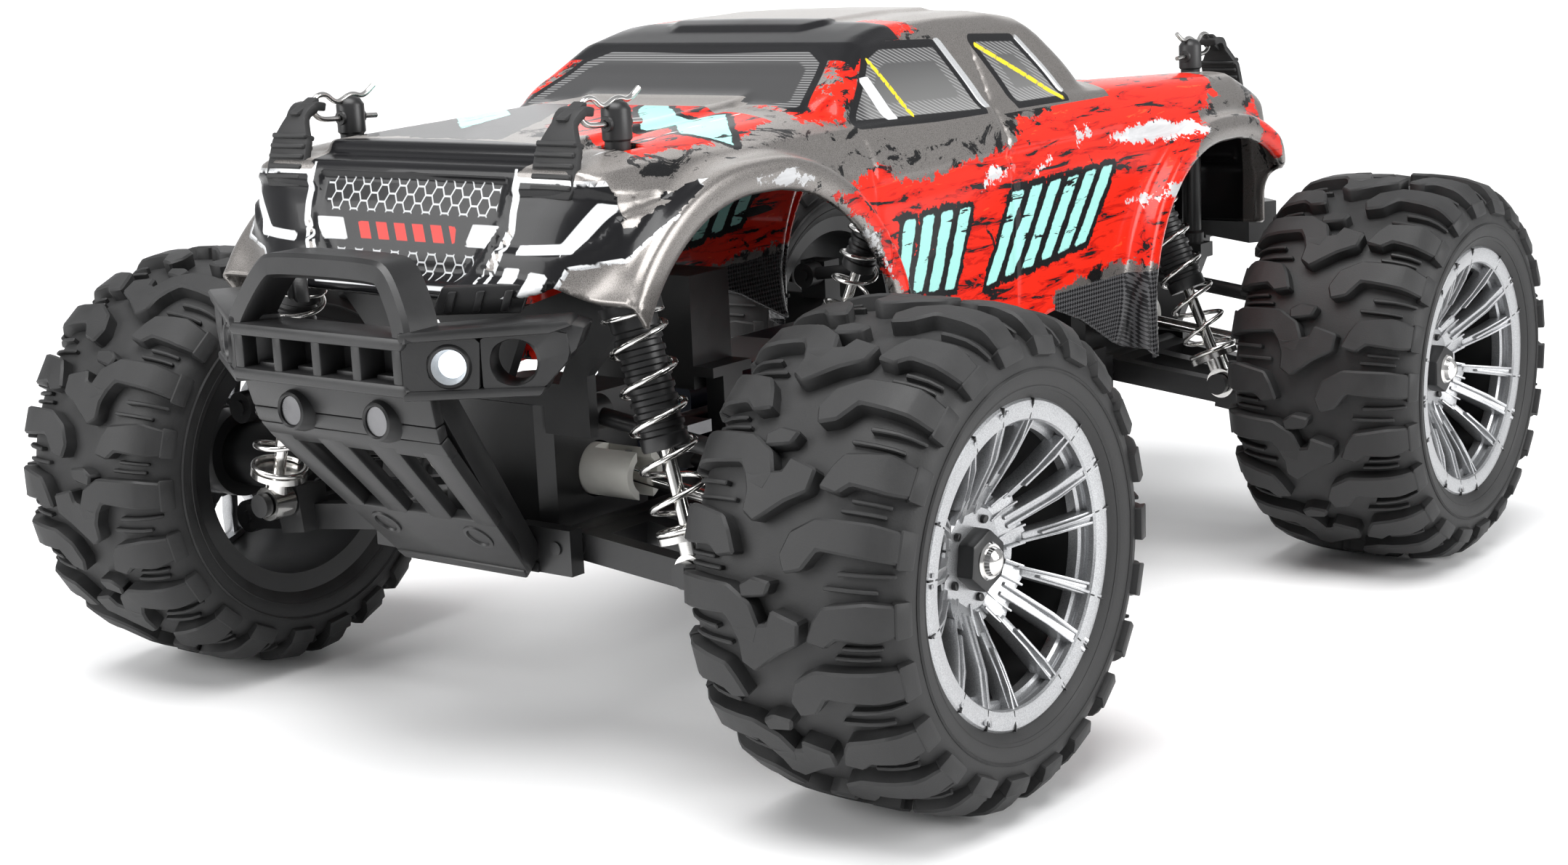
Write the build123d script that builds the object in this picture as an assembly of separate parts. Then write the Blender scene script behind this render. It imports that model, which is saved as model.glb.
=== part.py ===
"""Monster truck toy, 1:16 scale: chassis, double-wishbone suspension, four-wheel drive, steering, body shell.

Row frame in millimetres: the front of the truck faces -Y, its left side is +X, +Z is up. The origin is on the
ground, midway between the axles, on the centre plane. Left-hand parts are modelled, right-hand ones mirrored.
"""

import math
import os

from build123d import *

# Driving dimensions -------------------------------------------------------------------------------
TYRE_RADIUS = 44.0
TYRE_WIDTH = 44.0
TYRE_MID_X = 89.0
RIM_RADIUS = 28.0
WHEELBASE = 190.0
FRONT_AXLE_Y = -WHEELBASE / 2
REAR_AXLE_Y = WHEELBASE / 2
NOSE_Y = -150.0
TAIL_Y = -NOSE_Y
LAMP_X = 29.0
LAMP_Y = -146.0
LAMP_Z = 79.8
LAMP_TURN = 35.0
SKID_SCREW_X = 11.0
SKID_SCREW_Z = 69.5
FLOOR_Z = 36.0
FLOOR_TOP = 37.8
FLOOR_SCREW_HEAD = 1.0

# Suspension: every link of a corner is the same vector, so it is a parallelogram and the hub stays upright.
LINK_REACH = 52.0
LINK_DROP = 7.0
LINK_LENGTH = math.hypot(LINK_REACH, LINK_DROP)
LINK_SLOPE = math.degrees(math.atan2(LINK_DROP, LINK_REACH))
ARM_PIVOT = (22.0, 41.0)
HUB_PIVOT = (ARM_PIVOT[0] + LINK_REACH, ARM_PIVOT[1] - LINK_DROP)
UPPER_PIVOT = (22.0, 64.0)
UPPER_HUB_PIVOT = (UPPER_PIVOT[0] + LINK_REACH, UPPER_PIVOT[1] - LINK_DROP)
FRONT_LINK_OFFSET = -9.0
REAR_LINK_OFFSET = -6.0
DIFF_Z = TYRE_RADIUS + LINK_DROP
DIFF_BALL = (22.0, DIFF_Z)
HUB_BALL = (75.5, TYRE_RADIUS)
KINGPIN_X = HUB_PIVOT[0]
HINGE_RADIUS = 1.25
STUD_RADIUS = 1.5
RUNNING_GAP = 0.06
ARM_HALF_INNER = 16.5
ARM_HALF_OUTER = 12.0
FORK_HALF = 7.8
LUG_HALF = 7.4
LUG_RADIUS = 2.8

# Shock absorbers: plane offset from the axle, top eye and bottom eye as (x, z).
SHOCK_OFFSET = -20.0
FRONT_SHOCK = {"top": (40.0, 97.0), "foot": (55.0, 41.0)}
REAR_SHOCK = {"top": (33.0, 95.0), "foot": (57.0, 41.0)}
SHOCK_RADIUS = 4.3
SPRING_RADIUS = 5.2
SPRING_WIRE = 0.55
CUP_SEAT_RADIUS = SPRING_RADIUS + 0.45
SPRING_TURNS = 7.0
EYE_RADIUS = 3.4
EYE_WIDTH = 5.0
EYE_GAP = 0.4
FOOT_GAP = 1.0
ROD_RADIUS = 1.25
SHOCK_CAP_Z = -10.0
SHOCK_COLLAR_Z = -11.5
SHOCK_END_Z = -36.0

# Steering: the tie rods are parallel to the arms, level with the drive balls, behind the front axle.
STEER_ARM = 16.0
TIE_ROD_Y = FRONT_AXLE_Y + STEER_ARM
TIE_INNER = (22.0, DIFF_Z)
TIE_OUTER = (TIE_INNER[0] + LINK_REACH, TIE_INNER[1] - LINK_DROP)
HORN_LENGTH = 14.5
HORN_Y = -62.5
GUIDE_X = 12.0
GUIDE_Y = -76.2
STEER_STROKE = 5.7

# Drivetrain: bevel pair at each axle, spur pair at the motor. The centre shaft runs along Y.
RING_TEETH = 30
BEVEL_TEETH = 10
RING_RADIUS = 12.0
SPUR_TEETH = 45
PINION_TEETH = 15
GEAR_MODULE = 0.5
GEAR_WIDTH = 4.0
HOUSING_CHAMFER = 2.5
SPUR_Y = 30.0
MOTOR_X = GEAR_MODULE * (SPUR_TEETH + PINION_TEETH) / 2 + 0.1
MOTOR_RADIUS = 10.5
SHAFT_RADIUS = 1.5
CUP_RADIUS = 5.0
CUP_BORE = 3.5
CUP_SLOT = 2.0
BEARING_RADIUS = 4.4
AXLE_RADIUS = 2.0

# Body shell
SHELL_WALL = 1.2
SHELL_HALF = 50.0
FRONT_ARCH = (-87.0, 67.0, 37.0)
REAR_ARCH = (88.0, 60.0, 36.0)
POST_RADIUS = 2.3
FRONT_POST = {"x": 34.0, "y": -106.0, "top": 121.5, "foot": 96.0}
REAR_POST = {"x": 34.0, "y": 102.0, "top": 118.0, "foot": 69.0}
CLIP_DROP = 4.0


# Small helpers ------------------------------------------------------------------------------------
def block(x0, x1, y0, y1, z0, z1):
    return Pos((x0 + x1) / 2, (y0 + y1) / 2, (z0 + z1) / 2) * Box(x1 - x0, y1 - y0, z1 - z0)


def rod_x(radius, x0, x1, y=0.0, z=0.0):
    return Pos((x0 + x1) / 2, y, z) * Rot(0, 90, 0) * Cylinder(radius, x1 - x0)


def rod_y(radius, y0, y1, x=0.0, z=0.0):
    return Pos(x, (y0 + y1) / 2, z) * Rot(90, 0, 0) * Cylinder(radius, y1 - y0)


def rod_z(radius, z0, z1, x=0.0, y=0.0):
    return Pos(x, y, (z0 + z1) / 2) * Cylinder(radius, z1 - z0)


def rod_between(radius, a, b):
    """A round bar from point a to point b."""
    start, end = Vector(*a), Vector(*b)
    axis = end - start
    return extrude(Plane(origin=start, z_dir=axis) * Circle(radius), axis.length)


def plate_y(points, y0, y1):
    """A plate whose outline is (x, z) points, between two Y values."""
    outline = Plane(origin=(0, y0, 0), x_dir=(1, 0, 0), z_dir=(0, -1, 0)) * Polygon(*points, align=None)
    return extrude(outline, y1 - y0, dir=(0, 1, 0))


def plate_z(points, z0, z1):
    """A plate whose outline is (x, y) points, between two Z values."""
    return extrude(Pos(0, 0, z0) * Polygon(*points, align=None), z1 - z0, dir=(0, 0, 1))


def plate_x(points, x0, x1):
    """A plate whose outline is (y, z) points, between two X values."""
    outline = Plane(origin=(x0, 0, 0), x_dir=(0, 1, 0), z_dir=(1, 0, 0)) * Polygon(*points, align=None)
    return extrude(outline, x1 - x0, dir=(1, 0, 0))


def spun(profile, x=0.0, y=0.0, z=0.0):
    """Revolves (x, radius) points about the X axis, then moves the axis to y, z."""
    face = Plane.XY * Polygon(*profile, align=None)
    return Pos(x, y, z) * revolve(face, Axis.X, 360)


# Wheels -------------------------------------------------------------------------------------------
def tyre(axle_y):
    half = TYRE_WIDTH / 2
    right = [(half - 8, TYRE_RADIUS), (half - 3, 42), (half, 37), (half, 32)]
    right += [(half - 3.7, 28.3), (half - 3.7, 26.5)]
    left = [(-x, r) for x, r in right[::-1]]
    cavity = [(-half + 6, 26.5), (-half + 5, 38), (half - 5, 38), (half - 6, 26.5)]
    return [spun(right[::-1] + left[::-1] + cavity, TYRE_MID_X, axle_y, TYRE_RADIUS)]


def rim(axle_y):
    """Rim with a flat-lipped barrel and paired spokes, its stub axle with drive cup, hex and wheel nut."""
    x = TYRE_MID_X
    barrel = [(-18.5, 24.2), (-18.5, 26.4), (18.4, 26.4), (18.4, RIM_RADIUS), (20.3, RIM_RADIUS)]
    barrel += [(20.3, 25.4), (17.0, 24.6), (15.0, 24.2)]
    disc = spun(barrel, x)
    bore = AXLE_RADIUS + 0.03
    disc += spun([(6.5, bore), (6.5, 8.2), (11.5, 8.2), (11.5, bore)], x)
    spoke = plate_y([(x + 6.5, 7.0), (x + 11.5, 7.0), (x + 19.5, 25.0), (x + 14.5, 25.0)], -1.3, 1.3)
    for turn in range(0, 360, 72):
        for splay in (-13, 13):
            disc += Rot(turn + splay, 0, 0) * spoke
    cup = rod_x(4.6, 70.0, 79.2) - rod_x(CUP_BORE, 69.0, 78.3)
    cup -= block(69.0, 78.3, -CUP_SLOT, CUP_SLOT, -6, 6)
    axle = cup + rod_x(AXLE_RADIUS, 79.0, 104.0)
    bolt = rod_x(bore, 80.0, 106.0)
    hexagon = extrude(Plane(origin=(x, 0, 0), z_dir=(1, 0, 0)) * RegularPolygon(6.0, 6), 6.4) - bolt
    nut = extrude(Plane(origin=(100.6, 0, 0), z_dir=(1, 0, 0)) * RegularPolygon(3.6, 6), 2.6) - bolt
    return [Pos(0, axle_y, TYRE_RADIUS) * piece for piece in (disc, axle, hexagon, nut)]


# Suspension corner --------------------------------------------------------------------------------
def arm_frame(axle_y):
    """Local frame of a lower arm: origin at its inner pivot, +X towards the hub."""
    return Pos(ARM_PIVOT[0], axle_y, ARM_PIVOT[1]) * Rot(0, LINK_SLOPE, 0)


def to_arm(point):
    """A row (x, z) point in the lower arm's local frame."""
    slope = math.radians(LINK_SLOPE)
    dx, dz = point[0] - ARM_PIVOT[0], point[1] - ARM_PIVOT[1]
    return dx * math.cos(slope) - dz * math.sin(slope), dx * math.sin(slope) + dz * math.cos(slope)


def lower_arm(axle_y, shock):
    """Truss-shaped lower wishbone with its two hinge pins and the lower shock screw as separate solids."""
    reach = LINK_LENGTH
    inner, outer = ARM_HALF_INNER, ARM_HALF_OUTER
    arm = plate_z([(0, -inner), (reach, -outer), (reach, outer), (0, inner)], -2.6, 2.6)
    for side in (-1, 1):
        window = [(6, side * 2.2), (6, side * 12.5), (reach - 18, side * 9.8), (reach - 18, side * 2.2)]
        arm -= plate_z(window, -5, 5)
    arm += rod_y(3.2, -inner, inner) + rod_y(3.4, -outer, outer, reach)
    arm -= block(reach - 12.5, reach + 6, -FORK_HALF, FORK_HALF, -8, 8)
    foot_x, foot_z = to_arm(shock["foot"])
    near = SHOCK_OFFSET + EYE_WIDTH / 2 + EYE_GAP
    far = SHOCK_OFFSET - EYE_WIDTH / 2 - EYE_GAP
    boss = [(foot_x - 5, -11), (foot_x + 6, -11), (foot_x + 3.4, near), (foot_x - 3.4, near)]
    arm += plate_z(boss, -2.6, foot_z + 2.4)
    screw = rod_y(1.3, far, near + 3.0, foot_x, foot_z) + rod_y(2.4, far - 1.6, far, foot_x, foot_z)
    inner_pin = rod_y(HINGE_RADIUS, -21.0, 21.0)
    outer_pin = rod_y(HINGE_RADIUS, -12.6, 12.6, reach)
    pieces = [arm - inner_pin - outer_pin - screw, inner_pin, outer_pin, screw]
    return [arm_frame(axle_y) * piece for piece in pieces]


def upper_link(axle_y, offset):
    """Camber link with an eye at each end."""
    y = axle_y + offset
    inner, outer = (UPPER_PIVOT[0], y, UPPER_PIVOT[1]), (UPPER_HUB_PIVOT[0], y, UPPER_HUB_PIVOT[1])
    link = rod_between(1.7, inner, outer)
    for x, _, z in (inner, outer):
        link += rod_y(3.3, y - EYE_WIDTH / 2, y + EYE_WIDTH / 2, x, z)
    for x, _, z in (inner, outer):
        link -= rod_y(STUD_RADIUS + RUNNING_GAP, y - 4, y + 4, x, z)
    return [link]


def caster_block(axle_y):
    """Front C-shaped hub: hinges on the lower arm, carries the kingpins above and below the axle."""
    hub_x, hub_z = HUB_PIVOT
    ear_x, ear_z = UPPER_HUB_PIVOT
    body = rod_y(LUG_RADIUS, -LUG_HALF, LUG_HALF, hub_x, hub_z)
    body += block(63.5, 77.5, -6.4, 6.4, 32.6, 36.3)
    body += block(63.5, 66.5, -7.2, 7.2, 32.6, 57.4)
    body += block(63.5, 77.5, -6.0, 6.0, 53.6, 57.4)
    body += block(ear_x - 3.4, ear_x + 3.4, -6.1, -2.5, 53.6, 60.2)
    body -= rod_x(4.4, 60, 70, 0, TYRE_RADIUS)
    body -= rod_y(HINGE_RADIUS + RUNNING_GAP, -14, 14, hub_x, hub_z)
    stud = rod_y(STUD_RADIUS, FRONT_LINK_OFFSET - 2.9, -3.0, ear_x, ear_z)
    pins = [rod_z(1.2, 35.5, 38.2, KINGPIN_X), rod_z(1.2, 50.0, 57.8, KINGPIN_X)]
    for piece in (stud, *pins):
        body -= piece
    return [Pos(0, axle_y, 0) * piece for piece in (body, stud, *pins)]


def bearing_pair(axle_y):
    """Two ball-bearing rings on the stub axle."""
    rings = []
    for x in (80.0, 85.2):
        ring = rod_x(BEARING_RADIUS, x, x + 3.0) - rod_x(AXLE_RADIUS + RUNNING_GAP, x - 1, x + 4)
        rings.append(Pos(0, axle_y, TYRE_RADIUS) * ring)
    return rings


def bearing_bore():
    """Everything cut out of a hub for the drive cup, the stub axle and the two bearings."""
    bore = rod_x(5.4, 60.0, 79.6)
    for radius, x0, x1 in ((3.2, 79.0, 92.0), (BEARING_RADIUS, 79.5, 83.0), (BEARING_RADIUS, 85.2, 92.0)):
        bore += rod_x(radius, x0, x1)
    return Pos(0, 0, TYRE_RADIUS) * bore


def steering_knuckle(axle_y):
    """Front knuckle with kingpin ears, bearing seats and a steering arm that ends in a ball stud."""
    tie_x, tie_z = TIE_OUTER
    body = rod_x(6.8, 71.0, 88.4, 0, TYRE_RADIUS)
    body += rod_z(3.2, 49.0, 53.2, KINGPIN_X) + rod_z(3.2, 37.1, 39.5, KINGPIN_X)
    body += block(tie_x - 2.2, tie_x + 4.5, 4.0, STEER_ARM + 2.4, 38.8, 41.0)
    body -= bearing_bore()
    for z0, z1 in ((36.0, 38.4), (49.9, 54.0)):
        body -= rod_z(1.2 + RUNNING_GAP, z0, z1, KINGPIN_X)
    stud = rod_z(0.9, 38.8, tie_z, tie_x, STEER_ARM)
    body -= stud
    ball = stud + Pos(tie_x, STEER_ARM, tie_z) * Sphere(1.8)
    return [Pos(0, axle_y, 0) * piece for piece in (body, ball)] + bearing_pair(axle_y)


def rear_hub(axle_y):
    """Rear hub carrier: hinges on the lower arm and holds the stub axle directly."""
    hub_x, hub_z = HUB_PIVOT
    ear_x, ear_z = UPPER_HUB_PIVOT
    body = rod_y(LUG_RADIUS, -LUG_HALF, LUG_HALF, hub_x, hub_z)
    body += block(hub_x - 2.6, hub_x + 3.5, -6.4, 6.4, 32.6, 40.0)
    body += rod_x(6.8, 71.0, 88.4, 0, TYRE_RADIUS)
    body += block(ear_x - 3.0, ear_x + 5.0, -3.1, 3.5, 48.0, 60.2)
    body -= bearing_bore()
    body -= rod_y(HINGE_RADIUS + RUNNING_GAP, -14, 14, hub_x, hub_z)
    stud = rod_y(STUD_RADIUS, REAR_LINK_OFFSET - 2.9, 1.0, ear_x, ear_z)
    body -= stud
    return [Pos(0, axle_y, 0) * piece for piece in (body, stud)] + bearing_pair(axle_y)


def shock_frame(axle_y, shock):
    """Local frame of a shock: origin at its top eye, -Z along it towards the foot."""
    (top_x, top_z), (foot_x, foot_z) = shock["top"], shock["foot"]
    lean = math.degrees(math.atan2(foot_x - top_x, top_z - foot_z))
    return Pos(top_x, axle_y + SHOCK_OFFSET, top_z) * Rot(0, -lean, 0)


def shock_length(shock):
    (top_x, top_z), (foot_x, foot_z) = shock["top"], shock["foot"]
    return math.hypot(foot_x - top_x, top_z - foot_z)


def shock_cylinder(axle_y, shock):
    """Damper body: top eye, cap, upper spring collar and cylinder, closed round the piston rod."""
    body = rod_y(EYE_RADIUS, -EYE_WIDTH / 2, EYE_WIDTH / 2) + rod_z(3.4, SHOCK_CAP_Z, -1.5)
    body += rod_z(SHOCK_RADIUS + 0.6, SHOCK_CAP_Z, SHOCK_CAP_Z + 3.5)
    body += rod_z(CUP_SEAT_RADIUS, SHOCK_COLLAR_Z, SHOCK_CAP_Z)
    body += rod_z(SHOCK_RADIUS, SHOCK_END_Z, SHOCK_COLLAR_Z)
    body -= rod_y(STUD_RADIUS + RUNNING_GAP, -5, 5)
    body -= rod_z(3.2, SHOCK_END_Z + 3.0, SHOCK_COLLAR_Z - 1.0)
    body -= rod_z(ROD_RADIUS + RUNNING_GAP, SHOCK_END_Z - 1, SHOCK_END_Z + 4)
    return [shock_frame(axle_y, shock) * body]


def shock_rod(axle_y, shock):
    """Piston rod with its piston, the lower spring cup and the foot eye."""
    length = shock_length(shock)
    body = rod_z(ROD_RADIUS, -length + 2.4, SHOCK_END_Z + 4.5)
    body += rod_z(3.0, SHOCK_END_Z + 4.0, SHOCK_END_Z + 7.0)
    body += rod_z(CUP_SEAT_RADIUS, -length + 5.8, -length + 7.0)
    body += rod_z(2.4, -length + 2.0, -length + 6.0)
    body += Pos(0, 0, -length) * rod_y(EYE_RADIUS, -EYE_WIDTH / 2, EYE_WIDTH / 2)
    body -= Pos(0, 0, -length) * rod_y(1.3 + FOOT_GAP, -5, 5)
    return [shock_frame(axle_y, shock) * body]


def shock_spring(axle_y, shock):
    """Coil spring between the collar and the lower cup."""
    bottom = -shock_length(shock) + 7.0 + SPRING_WIRE + 0.05
    height = SHOCK_COLLAR_Z - SPRING_WIRE - 0.05 - bottom
    path = Pos(0, 0, bottom) * Helix(height / SPRING_TURNS, height, SPRING_RADIUS)
    section = Plane(origin=path @ 0, z_dir=path % 0) * Circle(SPRING_WIRE)
    return [shock_frame(axle_y, shock) * sweep(section, path, is_frenet=True)]


def driveshaft(axle_y):
    """Dogbone shaft: a bar with a ball and a cross pin at each end."""
    inner, outer = (DIFF_BALL[0], axle_y, DIFF_BALL[1]), (HUB_BALL[0], axle_y, HUB_BALL[1])
    slope = math.degrees(math.atan2(DIFF_BALL[1] - HUB_BALL[1], HUB_BALL[0] - DIFF_BALL[0]))
    body = rod_between(1.4, inner, outer)
    for end in (inner, outer):
        body += Pos(*end) * Sphere(2.2)
        body += Pos(*end) * Rot(0, slope, 0) * Cylinder(0.75, 8.4)
    return [body]


# Drivetrain ---------------------------------------------------------------------------------------
def gear_outline(teeth, module, stretch=1.0):
    """Straight-flanked teeth with generous backlash; a steep bevel's flat section stretches its roots."""
    pitch = module * teeth / 2
    root, tip = pitch - 1.2 * module * stretch, pitch + 0.9 * module
    step = 2 * math.pi / teeth
    points = []
    for k in range(teeth):
        for radius, share in ((root, -0.28), (tip, -0.10), (tip, 0.10), (root, 0.28)):
            angle = (k + share) * step
            points.append((radius * math.cos(angle), radius * math.sin(angle)))
    return points


def spur_gear(teeth, x):
    outline = Polygon(*gear_outline(teeth, GEAR_MODULE), align=None)
    return Pos(x, SPUR_Y, DIFF_Z) * Rot(90, 0, 0) * extrude(outline, GEAR_WIDTH)


def bevel_gear(teeth, mate_teeth, outer_radius, face):
    """Straight bevel gear about +Z whose pitch cone's apex is the origin."""
    apex = outer_radius * mate_teeth / teeth
    small = 1 - face / math.hypot(apex, outer_radius)
    stretch = math.hypot(apex, outer_radius) / apex
    outline = Polygon(*gear_outline(teeth, 2 * outer_radius / teeth, stretch), align=None)
    large_end = Pos(0, 0, apex) * outline
    small_end = Pos(0, 0, apex * small) * scale(outline, by=small)
    return loft([large_end.face(), small_end.face()], ruled=True)


def differential(axle_y, side):
    """Ring gear on its case and both output cups; they turn together when the truck drives straight."""
    ring = Rot(0, 90, 0) * bevel_gear(RING_TEETH, BEVEL_TEETH, RING_RADIUS, 3.6) - rod_x(6.5, 0.0, 9.0)
    case = rod_x(6.5, 2.0, 9.0) + rod_x(5.4, -9.0, 2.0)
    pieces = [ring, case]
    for hand in (-1, 1):
        cup = rod_x(CUP_RADIUS, 12.5, 26.3) - rod_x(CUP_BORE, 15.5, 27.0)
        cup -= block(15.9, 27.0, -CUP_SLOT, CUP_SLOT, -6, 6)
        cup += rod_x(2.5, 9.0, 12.6)
        pieces.append(cup if hand > 0 else mirror(cup, about=Plane.YZ))
    if side < 0:
        pieces = [mirror(piece, about=Plane.YZ) for piece in pieces]
    return [Pos(0, axle_y, DIFF_Z) * piece for piece in pieces]


def centre_driveline():
    """Centre shaft with the spur gear and a bevel pinion at each end."""
    shaft = rod_y(SHAFT_RADIUS, FRONT_AXLE_Y + 8.4, REAR_AXLE_Y - 8.4, 0, DIFF_Z)
    pieces = [shaft]
    for axle_y, turn in ((FRONT_AXLE_Y, -90), (REAR_AXLE_Y, 90)):
        pinion = bevel_gear(BEVEL_TEETH, RING_TEETH, RING_RADIUS * BEVEL_TEETH / RING_TEETH, 3.6)
        pieces.append(Pos(0, axle_y, DIFF_Z) * Rot(turn, 0, 0) * pinion - shaft)
    spur = spur_gear(SPUR_TEETH, 0) + rod_y(4.0, SPUR_Y, SPUR_Y + GEAR_WIDTH, 0, DIFF_Z)
    pieces.append(spur - shaft)
    return pieces


def motor_pinion():
    shaft = rod_y(1.0, SPUR_Y - 11.5, SPUR_Y, MOTOR_X, DIFF_Z)
    return [spur_gear(PINION_TEETH, MOTOR_X) - shaft, shaft]


def motor():
    """Brushed can motor ahead of the spur gear, with its end bell."""
    can = rod_y(MOTOR_RADIUS, SPUR_Y - 42.0, SPUR_Y - 9.0, MOTOR_X, DIFF_Z)
    can -= rod_y(1.0 + RUNNING_GAP, SPUR_Y - 12.0, SPUR_Y - 8.0, MOTOR_X, DIFF_Z)
    bell = rod_y(MOTOR_RADIUS - 1.5, SPUR_Y - 46.0, SPUR_Y - 42.0, MOTOR_X, DIFF_Z)
    return [can, bell]


def gearbox_housings():
    """Front and rear differential housings, open underneath; the tub floor closes them."""
    pieces = []
    for axle_y, inward in ((FRONT_AXLE_Y, 1), (REAR_AXLE_Y, -1)):
        box = block(-14.5, 14.5, -14.0, 14.0, FLOOR_TOP, 65.5)
        box = chamfer(box.edges().filter_by(Axis.Z), HOUSING_CHAMFER)
        box -= rod_x(13.3, -10.5, 10.5, 0, DIFF_Z)
        box -= rod_x(CUP_RADIUS + 0.4, -16, 16, 0, DIFF_Z)
        reach = sorted((0, inward * 13.0))
        box -= rod_y(5.2, *reach, 0, DIFF_Z)
        through = sorted((0, inward * 15.0))
        box -= rod_y(SHAFT_RADIUS + RUNNING_GAP, *through, 0, DIFF_Z)
        pieces.append(Pos(0, axle_y, 0) * box)
    return pieces


# Steering -----------------------------------------------------------------------------------------
def tie_rod():
    """Tie rod: a round eye on the steering plate's ball, a slotted eye on the knuckle's ball."""
    inner, outer = (TIE_INNER[0], 0, TIE_INNER[1]), (TIE_OUTER[0], 0, TIE_OUTER[1])
    tilt = Rot(0, LINK_SLOPE, 0)
    rod = rod_between(1.5, inner, outer)
    for end in (inner, outer):
        rod += Pos(*end) * tilt * Cylinder(3.6, 2.8)
    rod += Pos(*outer) * tilt * Pos(0, -1.0, 0) * Cylinder(3.6, 2.8)
    rod -= Pos(*inner) * tilt * Cylinder(2.3, 6)
    slot = Cylinder(1.95, 6) + Pos(0, -1.1, 0) * Cylinder(1.95, 6) + block(-1.95, 1.95, -1.1, 0, -3, 3)
    return [Pos(0, TIE_ROD_Y, 0) * (rod - Pos(*outer) * tilt * slot)]


def steering_plate():
    """Sliding cross plate: guided on two posts, driven by the servo horn, a ball stud at each end."""
    bar = block(-25.0, 25.0, -80.6, -73.4, 55.0, 57.4)
    bar -= block(-1.35, 1.35, -78.6, -74.6, 54, 58)
    for x in (-GUIDE_X, GUIDE_X):
        half = STEER_STROKE + 1.4
        bar -= block(x - half, x + half, GUIDE_Y - 1.4, GUIDE_Y + 1.4, 54, 58)
    for x in (-TIE_INNER[0], TIE_INNER[0]):
        bar += rod_z(1.0, DIFF_Z, 56.0, x, TIE_ROD_Y)
        bar += Pos(x, TIE_ROD_Y, DIFF_Z) * Sphere(2.2)
    return [bar]


def servo_horn():
    """Servo horn with its spline shaft above and the drive pin below."""
    tip_y = HORN_Y - HORN_LENGTH - 1.6
    arm = plate_z([(-2.6, HORN_Y), (2.6, HORN_Y), (1.9, tip_y), (-1.9, tip_y)], 57.8, 60.0)
    arm += rod_z(3.4, 57.8, 60.8, 0, HORN_Y) + rod_z(1.9, 60.8, 63.8, 0, HORN_Y)
    return [arm + rod_z(1.2, 54.8, 58.0, 0, HORN_Y - HORN_LENGTH)]


def servo():
    """Micro servo hung upside down between two posts."""
    body = block(-6.0, 17.0, HORN_Y - 6, HORN_Y + 6, 61.5, 84.0)
    body += block(-11.0, 22.0, HORN_Y - 6, HORN_Y + 6, 64.2, 66.2)
    body += rod_z(5.6, 61.0, 61.6, 0, HORN_Y)
    return [body - rod_z(1.9 + RUNNING_GAP, 60.0, 64.0, 0, HORN_Y)]


# Chassis ------------------------------------------------------------------------------------------
def hinge_lugs(axle_y):
    """The four lugs that hold the lower hinge pins of one axle."""
    lugs = []
    for side in (-1, 1):
        x0, x1 = sorted((side * 12.0, side * 25.5))
        for end in (-1, 1):
            y0, y1 = sorted((axle_y + end * 17.3, axle_y + end * 20.6))
            lug = block(x0, x1, y0, y1, FLOOR_Z, ARM_PIVOT[1] + 3.6)
            lugs.append(lug - rod_y(HINGE_RADIUS, y0 - 5, y1 + 5, side * ARM_PIVOT[0], ARM_PIVOT[1]))
    return lugs


def floor_screw_spots():
    """Where the housings are screwed to the floor from below."""
    return [(x, y + d) for y in (FRONT_AXLE_Y, REAR_AXLE_Y) for x in (-11.5, 11.5) for d in (-9.0, 9.0)]


def chassis_tub():
    """Bath-tub chassis: waisted floor, side walls, hinge lugs, motor mount, servo posts, steering guides."""
    half = [(17.5, -116.0), (17.5, -78.0), (34.0, -60.0), (34.0, 60.0), (17.5, 78.0), (17.5, 116.0)]
    outline = half + [(-x, y) for x, y in half[::-1]]
    tub = plate_z(outline, FLOOR_Z, FLOOR_TOP)
    for x in (-33.0, 33.0):
        tub += block(x - 1.0, x + 1.0, -60.0, 60.0, FLOOR_Z, 50.0)
    for axle_y in (FRONT_AXLE_Y, REAR_AXLE_Y):
        for lug in hinge_lugs(axle_y):
            tub += lug
    mount = block(4.0, 27.0, SPUR_Y - 9.0, SPUR_Y - 6.6, FLOOR_TOP, 62.0)
    tub += mount - rod_y(1.4, SPUR_Y - 10.0, SPUR_Y - 6.0, MOTOR_X, DIFF_Z)
    for x in (-8.8, 19.8):
        tub += block(x - 2.2, x + 2.2, HORN_Y - 3, HORN_Y + 3, FLOOR_TOP, 64.2)
    for x in (-GUIDE_X, GUIDE_X):
        for radius, z0, z1 in ((1.5, FLOOR_TOP, 54.8), (1.2, 54.8, 57.7), (2.3, 57.7, 58.9)):
            tub += rod_z(radius, z0, z1, x, GUIDE_Y)
    for x, y in floor_screw_spots():
        tub -= rod_z(2.3, FLOOR_Z - 1, FLOOR_Z + FLOOR_SCREW_HEAD, x, y)
    return [tub]


def battery():
    return [fillet(block(-31.5, -4.0, -45.0, 24.0, FLOOR_TOP, 57.8).edges().filter_by(Axis.Y), 4.0)]


def speed_controller():
    box = block(5.0, 31.5, -48.0, -20.0, FLOOR_TOP, 50.0)
    fins = [block(7.0 + 3.0 * k, 8.4 + 3.0 * k, -46.0, -22.0, 50.0, 54.0) for k in range(8)]
    for fin in fins:
        box += fin
    return [box]


def shock_tower(shock, low_z):
    """Half outline of a tower plate mirrored about the centre plane, in (x, z)."""
    top_x, top_z = shock["top"]
    half = [(0, low_z), (14.9, low_z), (14.9, 60.5), (26.0, 60.5), (26.0, 72.0), (top_x + 4.5, top_z - 5.0)]
    half += [(top_x + 3.0, top_z + 3.5), (top_x - 3.0, top_z + 3.5), (top_x - 3.0, top_z - 4.5)]
    half += [(12.0, 84.0), (0, 84.0)]
    plate = plate_y(half, 0, 2.3) - plate_y([(6, 70), (19, 70), (24, 80), (11, 80)], -1, 4)
    return plate + mirror(plate, about=Plane.YZ)


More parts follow.
